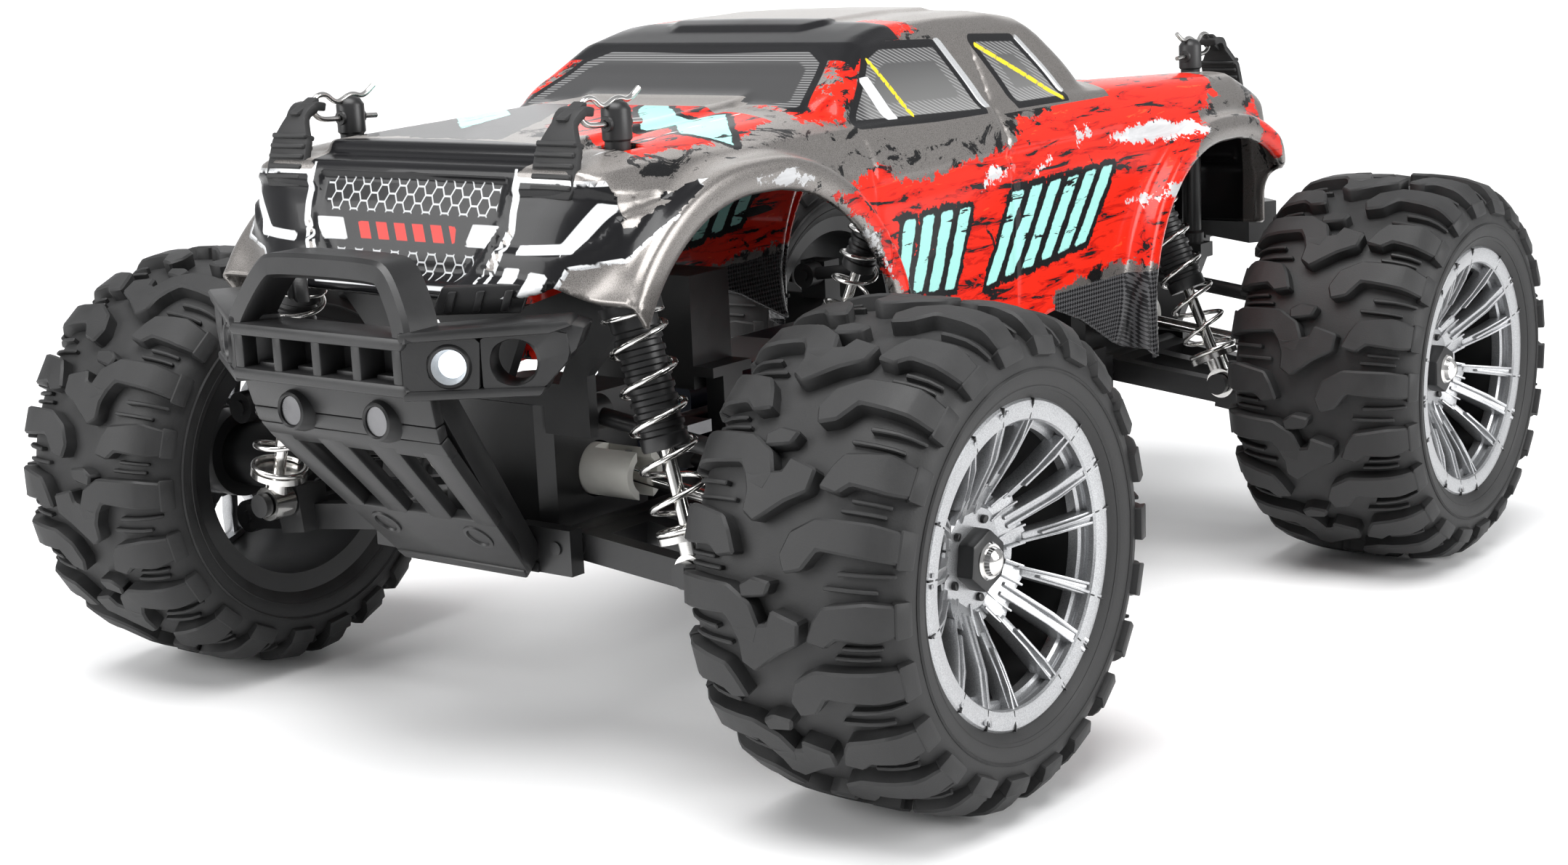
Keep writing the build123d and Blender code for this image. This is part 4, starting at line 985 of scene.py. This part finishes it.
def paint_layers(co, no):
    """Signed distances (mm, negative inside) for every painted layer at each vertex."""
    x, y, z = co.T
    ax, nx, ny, nz = np.abs(x), np.abs(no[:, 0]), no[:, 1], no[:, 2]
    side, plan, face = (np.stack(pair, 1) for pair in ((y, z), (x, y), (x, z)))
    plan_abs, face_abs = np.stack([ax, y], 1), np.stack([ax, z], 1)
    cab = (z > 109.5) & (y > -66) & (y < 46) & (ax < 46.5) & ((ax < 44.9) | (z > 112.5))
    on_side = ~cab & (ax > 30) & ((nx > 0.35) | (y > -48))
    on_hood = ~cab & (nz > 0.4) & (y < HOOD_END_Y)
    on_front = (ny < -0.3) & (y < FACE_Y)
    flank = cab & (nx > 0.45)
    stripes = [stripe for zone, count in STRIPE_ROWS for stripe in leaning_stripes(zone, count)]
    grille, lamp = signed_distance(face_abs, GRILLE), signed_distance(face_abs, LAMP)
    return {
        "up": nz,
        # Painted dark reflection on the hood, not a real mark.
        "hood_dark_reflection": only(on_hood, signed_distance(plan, DARK_REFLECTION_HOOD)),
        "red": nearest(
            only(on_side, union(side, (RED_SIDE, RED_TAIL))),
            only(on_hood, signed_distance(plan, RED_HOOD)),
            only(cab & (ax > 25), signed_distance(side, RED_CAB)),
            only(cab & (nz > 0.6) & (y < -18), within(-33 - y, y + 27.5)),
        ),
        "mint": nearest(only(on_side, union(side, stripes)), only(on_hood, union(plan, MINT_HOOD))),
        "white": only(on_side, union(side, WHITE_SIDE)),
        "stripe": only(flank, union(side, WHITE_BARS)),
        "carbon": nearest(
            only(on_side, signed_distance(side, CARBON_SIDE)),
            only(on_hood, signed_distance(plan, CARBON_HOOD)),
        ),
        "glass": nearest(
            only(flank, union(side, WINDOWS)),
            only(cab & (ny < -0.2) & (nx < 0.75), signed_distance(plan_abs, WINDSHIELD)),
            only(cab & (ny > 0.2) & (nx < 0.7), signed_distance(plan_abs, REAR_GLASS)),
        ),
        "yellow": only(flank, nearest(*(open_distance(y, z, line) for line in YELLOW_BARS)) - 0.55),
        "black": nearest(
            only(on_front, nearest(grille, lamp)),
            only(on_hood, within(ax - 27, y + 113.0 + 0.004 * x * x)),
            only(cab & (nz > 0.5), within(-41 - y, y + 22.5, ax - 40)),
            only(y > 116.5, within(70 - z, ax - 40)),
        ),
        "light": only(on_front, union(face_abs, FACE_LIGHTS)),
        "hexes": only(on_front, union(face, HEX_ZONES)),
        "badge": only(on_front, within(np.abs(z - 99.3) - 1.5, ax - 12.5)),
        "line": nearest(
            only(on_front, nearest(np.abs(grille) - 0.35, np.abs(lamp) - 0.45)),
            only(on_hood & (y < -60), np.abs(ax - (29.5 + 0.12 * (-62 - y))) - 0.25),
        ),
    }


def hex_lines(shader, x, z, wide, tall, width):
    """Mask of a stretched hexagon net in the (x, z) plane; cell sizes in millimetres."""
    u, v = x * (1000 / wide), z * (1000 / tall)
    root = math.sqrt(3)

    def wrapped(value, period, offset):
        return shader.math("MODULO", value + (200 * period - offset), period) - period / 2

    corners = [(wrapped(u, root, du), wrapped(v, 1.0, dv)) for du, dv in ((0, 0), (root / 2, 0.5))]
    near = shader.math("LESS_THAN", *(a * a + b * b for a, b in corners))
    gu, gv = (shader.math("ABSOLUTE", shader.blend(near, corners[1][i], corners[0][i])) for i in range(2))
    edge = (gu * (root / 2) + gv * 0.5) | gv
    return shader.step(edge, 0.5 - width, 0.5 - width + 0.03)


def shell_paint():
    """Metallic grey with torn red, black and white print, checks of carbon weave, glass and lamps."""
    shader = Shader("shell_print")
    x, y, z = shader.xyz()
    torn = shader.noise(230.0, 5.0, 0.7) - 0.5
    fine = shader.noise(1500.0, 3.0, 0.6) - 0.5

    def mask(name, ragged=0.0, grow=0.0, soft=0.12):
        value = shader.attr(name) - grow
        if ragged:
            value = value + torn * (9.0 * ragged) + fine * (2.5 * ragged)
        return shader.step(value, soft, -soft)

    flake = shader.noise(7000.0, 2.0, 0.8)
    streak = shader.noise(420.0, 5.0, 0.65, shader.stretched((1, 0.16, 1), (0.5, 0, 0)), 0.6)
    splash = shader.noise(150.0, 7.0, 0.72, shader.stretched((1, 0.6, 1), (0.4, 0, 0)), 1.2)
    red, hood_dark_reflection, carbon = mask("red", 1.0), mask("hood_dark_reflection", 0.9), mask("carbon", 0.2)
    black, light, white = mask("black", soft=0.2), mask("light"), mask("white", 0.9, -0.5)
    outline, frame_line = mask("mint", 0.45, 1.5), mask("glass", grow=1.4)

    color = shader.mix(shader.step(flake, 0.3, 0.75), (0.17, 0.158, 0.148), (0.36, 0.34, 0.325))
    near_red = mask("red", 1.0, 5.0) * shader.step(splash, 0.54, 0.56)
    # Black splashes beside the red print, and the painted dark reflection over the hood.
    color = shader.mix(near_red | hood_dark_reflection, color, (0.02, 0.02, 0.021))
    tone = shader.mix(shader.step(streak, 0.5, 0.56), (0.74, 0.022, 0.009), (0.5, 0.012, 0.006))
    tone = shader.mix(shader.step(streak, 0.36, 0.32), tone, (0.86, 0.07, 0.02))
    color = shader.mix(red, color, tone)
    scratch = (red * shader.step(streak, 0.585, 0.6)) | (red * shader.step(splash, 0.63, 0.64))
    color = shader.mix(scratch, color, (0.012, 0.012, 0.013))
    color = shader.mix(outline, color, (0.01, 0.01, 0.011))
    weave = shader.wave((y + z) * 3200.0) * shader.wave((y - (z + x)) * 3200.0)
    fibre = shader.mix(shader.step(weave, -0.1, 0.1), (0.012, 0.012, 0.013), (0.075, 0.075, 0.078))
    color = shader.mix(carbon, color, fibre)
    mint = shader.mix(flake, (0.27, 0.64, 0.59), (0.42, 0.78, 0.72))
    color = shader.mix(mask("mint", 0.16) * shader.step(streak, 0.62, 0.6), color, mint)
    color = shader.mix(white, color, shader.mix(streak, (0.3, 0.3, 0.31), (0.85, 0.86, 0.87)))
    color = shader.mix(black, color, (0.009, 0.009, 0.01))
    hexagons = hex_lines(shader, x, z, 2.7, 2.9, 0.07)
    color = shader.mix(mask("hexes") * hexagons, color, (0.55, 0.56, 0.57))
    dashes = shader.step(shader.wave((x + z * 0.4) * 1350.0), -0.35, -0.2)
    color = shader.mix(mask("badge") * dashes, color, (0.72, 0.02, 0.01))
    color = shader.mix(frame_line, color, (0.011, 0.011, 0.012))
    color = shader.mix(mask("glass", grow=-0.3), color, window_tone(shader, y, z))
    color = shader.mix(mask("stripe"), color, (0.78, 0.79, 0.8))
    color = shader.mix(mask("yellow"), color, (0.78, 0.6, 0.03))
    color = shader.mix(light, color, shader.mix(flake, (0.66, 0.67, 0.68), (0.82, 0.83, 0.84)))
    color = shader.mix(mask("line", soft=0.08), color, (0.7, 0.71, 0.72))
    shader.set("Base Color", color)
    covered = red | hood_dark_reflection | black | carbon | frame_line | light | outline | mask("white")
    up = shader.step(shader.attr("up"), 0.75, 0.95)
    shader.set("Metallic", (1.0 - covered) * shader.blend(up, 0.75, 0.25))
    shader.set("Roughness", shader.blend(covered, shader.step(flake, 0.2, 0.8, 0.24, 0.4), 0.22))
    shader.set("Coat Weight", shader.blend(up, 0.28, 0.06))
    shader.set("Coat IOR", 1.35)
    shader.set("Specular IOR Level", shader.blend(up, 0.2, 0.05))
    shader.bump(shader.noise(70.0, 3.0), 0.00012, 0.5)
    return shader.mat


def window_tone(shader, y, z):
    """Smoky panes, darker towards the roof and on the windshield, with hatched corners."""
    pane = shader.mix(shader.step(z, 0.11, 0.127), (0.17, 0.17, 0.168), (0.06, 0.06, 0.061))
    pane = shader.mix(shader.step(y, -0.043, -0.04), (0.05, 0.05, 0.051), pane)
    hatch = shader.step(shader.wave((z + y * 0.5) * 8000.0), 0.3, 0.6)
    corner = shader.step(shader.attr("glass"), -3.2, -2.6) * hatch
    return shader.mix(corner * 0.45, pane, (0.45, 0.45, 0.45))


def drop_crumbs(bm):
    """Keeps only the largest connected skin."""
    seen, groups = set(), []
    for start in bm.verts:
        if start in seen:
            continue
        stack, group = [start], []
        seen.add(start)
        while stack:
            v = stack.pop()
            group.append(v)
            for w in [e.other_vert(v) for e in v.link_edges]:
                if w not in seen:
                    seen.add(w)
                    stack.append(w)
        groups.append(group)
    groups.sort(key=len)
    for group in groups[:-1]:
        bmesh.ops.delete(bm, geom=group, context="VERTS")


def skin_mesh():
    """The shell's outer skin as a mesh in millimetres, facing outwards."""
    verts, quads = shell_mesh(0.9)
    bm = bmesh.new()
    made = [bm.verts.new(v) for v in verts]
    for quad in quads:
        bm.faces.new([made[i] for i in quad])
    bmesh.ops.remove_doubles(bm, verts=bm.verts, dist=0.01)
    bmesh.ops.delete(bm, geom=[v for v in bm.verts if not v.link_faces], context="VERTS")
    drop_crumbs(bm)
    for face in bm.faces:
        face.smooth = True
    bm.normal_update()
    roof = max(bm.faces, key=lambda f: f.calc_center_median().z)
    if roof.normal.z < 0:
        bmesh.ops.reverse_faces(bm, faces=bm.faces)
    mesh = bpy.data.meshes.new("skin")
    bm.to_mesh(mesh)
    bm.free()
    return mesh


def body_shell():
    mesh = skin_mesh()
    co, no = np.empty((2, len(mesh.vertices) * 3))
    mesh.vertices.foreach_get("co", co)
    mesh.vertices.foreach_get("normal", no)
    for name, values in paint_layers(co.reshape(-1, 3), no.reshape(-1, 3)).items():
        layer = mesh.attributes.new(name, "FLOAT", "POINT")
        layer.data.foreach_set("value", values.astype(np.float32))
    mesh.transform(Matrix.Scale(MM, 4))
    mesh.materials.append(shell_paint())
    skin = link_object("skin", mesh)
    wall = skin.modifiers.new("wall", "SOLIDIFY")
    wall.thickness, wall.offset, wall.use_rim = WALL_THICKNESS * MM, -1.0, True
    done = bpy.data.meshes.new_from_object(skin.evaluated_get(bpy.context.evaluated_depsgraph_get()))
    attach(link_object("body_shell_look", done), "chassis", "body_shell")
    bpy.data.objects.remove(skin)


# Posts, clips, bumpers and lamps ------------------------------------------------------------------
POSTS = (((34.0, -106.0), 121.5, 96.0, -1), ((34.0, 102.0), 118.0, 69.0, 1))
CLIP_DROP = 4.0
WIRE = [(-6.5, -0.2), (-3.0, 0), (6.0, 0), (8.6, 0.6), (9.9, 2.6), (8.6, 4.7), (6.0, 5.0), (4.2, 3.4)]
WIRE += [(2.6, 3.1), (-0.6, 4.6), (-3.4, 3.6), (-6.4, 5.6)]
STRAP_LINE = smooth_line([(0, 2.2), (2.6, 2.9), (5.0, 1.2), (7.0, -3.6), (8.6, -9.0), (10.0, -15.0)], 40)
STRAP_AT = lengths_along(STRAP_LINE)
STRAP_HALF = [(0, -2.4), (3, -3.0), (6, -2.6), (8, -3.6), (10.5, -4.9), (17.5, -5.2), (19.2, -4.2)]
NOSE_Y = -150.0
POCKETS = 4
POCKET_PITCH = 10.1
WING_START, WING_END = np.array([21.5, -148.8]), np.array([47.5, -132.0])
LAMP_POD = (7.6, 80.2)
OPEN_POD = (18.6, 80.6)
POD_SEGS = 40
HOOP = [(-22.0, 84.2), (-20.8, 88.0), (-16.0, 95.2), (-12.8, 96.4)]
HOOP_SECTION = [(-2.9, -148.6), (-2.1, -149.9), (0.9, -149.9), (1.6, -149.0), (1.6, -142.4), (0.9, -141.8)]
HOOP_SECTION += [(-2.3, -141.8), (-2.9, -142.4)]
SKID_SAMPLES = 80
SKID_PATH = fitted([(-145.6, 75.5), (-143.4, 66.8), (-141.6, 64.2), (-117.4, 36.6)], SKID_SAMPLES)
SKID_LENGTH = float(lengths_along(SKID_PATH)[-1])
SKID_RAILS = ((-1.0, 6.5), (6.5, 9.5), (9.5, 14.0), (33.0, SKID_LENGTH))
SKID_SCREW = [(0.4, 2.1), (0.4, 3.3), (1.1, 3.1), (1.2, 2.4), (0.7, 2.1)]
SKID_BARS = ((-1.0, -0.72), (-0.44, -0.14), (0.14, 0.44), (0.72, 1.0))


def posts():
    bm = bmesh.new()
    for (x, y), top, foot, _ in POSTS:
        post = [(foot, 0), (foot, 2.9), (foot + 2.4, 2.9), (foot + 3.0, 2.3), (top - 7.2, 2.3)]
        post += [(top - 6.8, 2.7), (top - 1.6, 2.7), (top - 0.5, 2.0), (top, 0.9), (top, 0)]
        for side in (-1, 1):
            lathe(bm, post, (side * x, y, 0), "z", 32)
            for way in (-1, 1):
                eyelet = [(way * 2.45, 0.75), (way * 2.9, 0.75), (way * 2.9, 1.3), (way * 2.45, 1.5)]
                lathe(bm, eyelet, (side * x, y, top - CLIP_DROP), "y", 20)
    attach(to_object("body_posts_look", bm, "black_nylon", 40), "chassis", "body_posts")


def strap(bm, x, y, z, way):
    """Ribbed rubber pull tab hanging from the clip's loop, wide at its end."""

    def place(u, v, h):
        p, q = (
            [float(np.interp(at, STRAP_AT, STRAP_LINE[:, i])) for i in range(2)] for at in (u, u + 0.4)
        )
        dy, dz = q[0] - p[0], q[1] - p[1]
        n = math.hypot(dy, dz) or 1.0
        return (x + v, y + way * (8.2 + p[0] - h * dz / n), z + 0.4 + p[1] + h * dy / n)

    part = bmesh.new()
    prism(part, STRAP_HALF + [(u, -v) for u, v in STRAP_HALF[::-1]], -0.8, 0.8, flat_xyz, 0.3)
    slice_across(part, range(1, 19))
    add_mapped(bm, part, place)
    for k in range(5):
        u = 9.2 + 1.9 * k
        prism(bm, rect(u, u + 0.95, -4.6, 4.6), -1.35, 1.35, place, 0.25, 1)
    prism(bm, [(1.0, -1.6), (6.0, -1.3), (6.0, 1.3), (1.0, 1.6)], -1.5, 1.6, place, 0.5)


def clips():
    """R-clips: one leg through the post, a hump over it and a loop that carries the pull strap."""
    wires, straps = bmesh.new(), bmesh.new()
    for (x, y), top, _, way in POSTS:
        for side in (-1, 1):
            path = [(side * x, y + way * dy, top - CLIP_DROP + dz) for dy, dz in WIRE]
            tube(wires, smooth_line(path, 70, 3), 0.55)
            strap(straps, side * x, y, top - CLIP_DROP, way)
    attach(to_object("clip_wires", wires, "bright_steel", 40), "chassis", "body_clips")
    attach(to_object("clip_straps", straps, "clip_rubber", 40), "chassis", "body_clips")


def facing_front(u, v, h):
    return (u, h, v)


def bumper_centre(bm):
    """Top rail, bottom rail, ribs between four pockets and a back wall with small steps."""
    for low, high in ((83.0, 85.3), (75.0, 77.3)):
        mid = (low + high) / 2
        rail = [(-21.5, low), (21.5, low), (22.5, mid), (21.5, high), (-21.5, high), (-22.5, mid)]
        prism(bm, rail, NOSE_Y, -141.0, facing_front, 0.5)
    for k in range(POCKETS + 1):
        x = POCKET_PITCH * (k - POCKETS / 2)
        prism(bm, rect(x - 1.15, x + 1.15, 76.5, 83.8), -149.7, -142.0, facing_front, 0.45)
    prism(bm, rect(-21.0, 21.0, 76.5, 83.8), -144.0, -141.5, facing_front, 0.3)
    for k in range(POCKETS):
        x = POCKET_PITCH * (k + 0.5 - POCKETS / 2)
        prism(bm, rect(x - 3.0, x + 3.0, 76.8, 78.0), -147.0, -143.6, facing_front, 0.3)


def ray_hit(origin, direction, p, q):
    """Distance along a ray to the segment p-q, or a huge number."""
    e, w = q - p, p - origin
    det = direction[1] * e[0] - direction[0] * e[1]
    if abs(det) < 1e-9:
        return 1e9
    t = (w[1] * e[0] - w[0] * e[1]) / det
    s = (direction[0] * w[1] - direction[1] * w[0]) / det
    return t if t > 0 and -1e-6 <= s <= 1 + 1e-6 else 1e9


def pod_ring(bm, place, centre, radius, outline, low, high):
    """A plate with a round hole: a ring of quads from the hole to the outline, front, back and inside."""
    middle = np.array(centre)
    pts = [np.array(p, float) for p in outline]
    rows = []
    for k in range(POD_SEGS):
        a = 2 * math.pi * k / POD_SEGS
        d = np.array([math.cos(a), math.sin(a)])
        outer = middle + d * min(ray_hit(middle, d, p, q) for p, q in zip(pts, pts[1:] + pts[:1]))
        hole = middle + d * radius
        steps = ((0, low), (0, high - 0.5), (0.12, high), (0.94, high), (1, high - 0.5), (1, low))
        rows.append([place(*(hole + (outer - hole) * share), h) for share, h in steps])
    grid(bm, rows, wrap_u=True, wrap_v=True)


def on_wing(side):
    """Frame of a bumper wing: u runs outward along the swept face, v up, h forward out of the face."""
    along = (WING_END - WING_START) / np.linalg.norm(WING_END - WING_START)
    out = np.array([along[1], -along[0]])

    def place(u, v, h):
        x, y = WING_START + along * u + out * h
        return (side * x, y, v)

    return place


def bumper_wing(bm, side):
    place = on_wing(side)
    lamp_plate = [(-0.8, 75.4), (12.6, 75.6), (13.2, 85.0), (-0.8, 85.0)]
    open_plate = [(13.0, 75.6), (23.5, 76.0), (28.6, 81.2), (28.2, 85.4), (24.5, 86.2), (13.0, 85.2)]
    pod_ring(bm, place, LAMP_POD, 3.3, lamp_plate, -6.0, 0.6)
    pod_ring(bm, place, OPEN_POD, 3.9, open_plate, -6.5, 0.4)
    for outline, low, high, bevel in (
        ([(-0.8, 84.4), (25.0, 85.4), (29.0, 86.6), (28.0, 87.6), (-0.8, 86.2)], -8.0, 1.3, 0.5),
        ([(-0.8, 74.4), (23.0, 74.8), (24.0, 76.4), (-0.8, 76.2)], -8.0, 1.0, 0.5),
        (rect(0.0, 12.4, 76.0, 84.5), -6.6, -5.2, 0.3),
        ([(24.6, 78.6), (29.4, 82.4), (31.0, 86.2), (28.0, 87.0), (24.6, 86.0)], -9.0, 0.2, 0.6),
        ([(2.0, 87.0), (18.0, 87.0), (20.0, 92.0), (4.5, 92.0)], -14.0, -11.5, 0.5),
    ):
        prism(bm, outline, low, high, place, bevel)
    for k in range(3):
        u = 4.5 + 5 * k
        rib = [(u, 87.6), (u + 1.5, 87.6), (u + 2.7, 91.2), (u + 1.2, 91.2)]
        prism(bm, rib, -11.8, -10.4, place, 0.3)
    bezel = [(-3.4, 2.2), (-3.4, 3.9), (0.6, 3.9), (1.2, 3.5), (1.1, 3.05), (-2.0, 2.2)]
    lathe_at(bm, place, *LAMP_POD, bezel)


def hoop(bm):
    """The bent tube of rectangular section over the bumper."""
    line = smooth_line(HOOP + [(-u, v) for u, v in HOOP[::-1]], 70, 3)
    rows = []
    for i, (u, v) in enumerate(line):
        a, b = line[max(i - 1, 0)], line[min(i + 1, len(line) - 1)]
        d = (b - a) / np.linalg.norm(b - a)
        lean = (v - 84) * 0.22
        rows.append([(u - d[1] * s, y + lean, v + d[0] * s) for s, y in HOOP_SECTION])
    cap_ends(bm, grid(bm, rows, wrap_u=True))


def skid_at(v):
    """Point (y, z) of the skid plate's slope at v along it."""
    k = np.clip(v / SKID_LENGTH * (SKID_SAMPLES - 1), -2, SKID_SAMPLES + 1)
    i = int(np.clip(k, 0, SKID_SAMPLES - 2))
    return SKID_PATH[i] + (SKID_PATH[i + 1] - SKID_PATH[i]) * (k - i)


def on_skid(u, v, h):
    ahead, behind = skid_at(v + 0.8), skid_at(v - 0.8)
    down = (ahead - behind) / np.linalg.norm(ahead - behind)
    y, z = skid_at(v) + np.array([down[1], -down[0]]) * h
    return (u, y, z)


def skid_half(v):
    return np.interp(v, [0, 14, SKID_LENGTH], [24.0, 23.0, 17.0])


def skid_strip(bm, left, right, top, bottom, bevel):
    """A strip between two heights, its edges given as shares of the plate's half width."""
    wide, narrow = skid_half(top), skid_half(bottom)
    corners = [(left * wide, top), (right * wide, top), (right * narrow, bottom), (left * narrow, bottom)]
    prism(bm, corners, -1.6, 0.8, on_skid, bevel)


def skid_plate(bm):
    """Sloping skid plate with three slots, side webs and a rolled lower edge; u across, v down the slope."""
    for top, bottom in SKID_RAILS:
        skid_strip(bm, -1, 1, top, bottom, 0.5)
    for left, right in SKID_BARS:
        skid_strip(bm, left, right, 12.0, 34.0, 0.45)
    socket = [(-141.5, 2.7), (-146.9, 2.7), (-147.2, 3.0), (-146.9, 3.4), (-144.4, 4.2), (-141.5, 4.2)]
    for side in (-1, 1):
        web = [(21.5, -1.0), (24.0, -1.0), (17.2, SKID_LENGTH), (15.2, SKID_LENGTH)]
        prism(bm, [(side * u, v) for u, v in web], -4.5, 0.6, on_skid, 0.5)
        lathe_at(bm, on_skid, side * 12.0, 38.0, SKID_SCREW)
        lathe(bm, socket, (side * 11.0, 0, 69.5), "y", 36)
    low, high = SKID_LENGTH - 1.2, SKID_LENGTH + 1.2
    prism(bm, [(-16.8, low), (16.8, low), (16.0, high), (-16.0, high)], -1.4, 1.2, on_skid, 0.5)


def front_bumper():
    """Swept bumper bar with pockets, lamp pods, hoop and slotted skid plate."""
    bm = bmesh.new()
    bumper_centre(bm)
    for side in (-1, 1):
        bumper_wing(bm, side)
    hoop(bm)
    skid_plate(bm)
    attach(to_object("front_bumper_look", bm, "black_nylon", 35), "chassis", "front_bumper")


def lamps():
    lens, cups = bmesh.new(), bmesh.new()
    for side in (-1, 1):
        place = on_wing(side)
        lathe_at(lens, place, *LAMP_POD, [(-2.6, 0.0), (-2.6, 1.7), (-1.6, 1.65), (-0.8, 1.2), (-0.4, 0.0)])
        lathe_at(cups, place, *LAMP_POD, [(-2.9, 1.7), (-2.3, 1.75), (-0.7, 2.9), (-0.9, 3.1), (-2.9, 3.1)])
    for name, bm, mat in (("bumper_lamps_look", lens, "lamp_lens"), ("lamp_reflectors", cups, "silver_rim")):
        attach(to_object(name, bm, mat, 50), "chassis", "bumper_lamps")


# CAD nodes keep their shape; they get a finish and softened edges ---------------------------------
FINISH = {
    "servo_horn": "white_nylon", "steering_plate": "steel", "motor": "motor_can",
    "motor_pinion": "gear_brass", "battery": "battery_wrap", "speed_controller": "anodised",
    "chassis_screws": "steel", "centre_driveline": "steel", "front_differential": "white_nylon",
    "rear_differential": "white_nylon", "driveshaft": "bright_steel", "shock_rod": "bright_steel",
}
REPLACED = {
    "tyre", "rim", "shock_cylinder", "shock_spring", "body_shell", "body_posts", "body_clips",
    "front_bumper", "bumper_lamps",
}
SHARP = {"driveshaft", "motor_pinion", "centre_driveline", "front_differential", "rear_differential"}
CORNERS = ("front_left_", "front_right_", "rear_left_", "rear_right_")


def finish_nodes():
    for name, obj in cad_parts.items():
        part = name.split("_", 2)[2] if name.startswith(CORNERS) else name
        if part in REPLACED:
            continue
        obj.data.materials.clear()
        obj.data.materials.append(MATS[FINISH.get(part, "black_nylon")])
        if part in SHARP:
            continue
        soft = obj.modifiers.new("soft_edges", "BEVEL")
        soft.width, soft.segments = 0.0004, 2
        soft.limit_method, soft.angle_limit = "ANGLE", math.radians(40)
        soft.harden_normals = False


# Stage --------------------------------------------------------------------------------------------
VIEW_AZIMUTH, VIEW_ELEVATION, VIEW_ROLL = 0.666, 0.208, -0.045
CAMERA_SPOT = Vector((0.3268, -0.435, 0.1534))
FOCAL_LENGTH, SENSOR_WIDTH = 57.17, 36.0
TRUCK_MIDDLE = (0, 0, 0.06)
LIGHTS = (
    ("key_softbox", (0.1, -0.35, 1.2), TRUCK_MIDDLE, (1.1, 0.8), 20),
    ("side_softbox", (1.3, 0.35, 0.55), TRUCK_MIDDLE, (0.8, 0.7), 13),
    ("front_softbox", (-0.7, -1.2, 0.6), TRUCK_MIDDLE, (0.9, 0.8), 12),
    ("backdrop_wash", (-0.9, 1.3, 1.7), (-1.9, 2.6, 0.5), (1.8, 1.2), 45),
)


def area_light(name, spot, target, size, power):
    data = bpy.data.lights.new(name, "AREA")
    data.shape, data.energy = "RECTANGLE", power
    data.size, data.size_y = size
    obj = link_object(name, data)
    obj.location = spot
    obj.rotation_euler = (Vector(target) - Vector(spot)).to_track_quat("-Z", "Y").to_euler()
    return obj


def backdrop():
    """White floor that sweeps up behind the truck, square to the camera."""
    floor = Shader("studio_floor")
    floor.set("Base Color", floor.mix(floor.noise(3.0, 2.0), (0.93, 0.93, 0.93), (0.96, 0.96, 0.96)))
    bm = bmesh.new()
    line = smooth_line([(-1.6, 0), (2.2, 0), (3.0, 0.1), (3.4, 0.6), (3.5, 3.0)], 60, 3)
    grid(bm, [[(x, y, z) for y, z in line] for x in np.linspace(-4, 4, 3)])
    bm.transform(Matrix.Rotation(VIEW_AZIMUTH, 4, "Z"))
    for face in bm.faces:
        face.smooth = True
    mesh = bpy.data.meshes.new("studio_sweep")
    bm.to_mesh(mesh)
    bm.free()
    mesh.materials.append(floor.mat)
    return link_object("studio_sweep", mesh)


def stage():
    backdrop()
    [area_light(*light) for light in LIGHTS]
    world = bpy.data.worlds.new("studio")
    world.use_nodes = True
    background = world.node_tree.nodes["Background"]
    background.inputs["Color"].default_value = (0.97, 0.98, 1.0, 1)
    background.inputs["Strength"].default_value = 0.42
    bpy.context.scene.world = world
    bpy.context.scene.view_settings.view_transform = "Standard"


def camera():
    """Low three-quarter view from the truck's front left."""
    azimuth, elevation = VIEW_AZIMUTH, VIEW_ELEVATION
    back = Vector((math.sin(azimuth), -math.cos(azimuth), 0)) * math.cos(elevation)
    back.z = math.sin(elevation)
    right = Vector((math.cos(azimuth), math.sin(azimuth), 0))
    turned = Matrix((right, back.cross(right), back)).transposed().to_4x4()
    data = bpy.data.cameras.new("camera")
    data.lens, data.sensor_width, data.clip_start = FOCAL_LENGTH, SENSOR_WIDTH, 0.02
    obj = link_object("camera", data)
    obj.matrix_world = Matrix.Translation(CAMERA_SPOT) @ turned @ Matrix.Rotation(VIEW_ROLL, 4, "Z")
    bpy.context.scene.camera = obj


wheels()
springs()
body_shell()
posts()
clips()
front_bumper()
lamps()
finish_nodes()
stage()
camera()
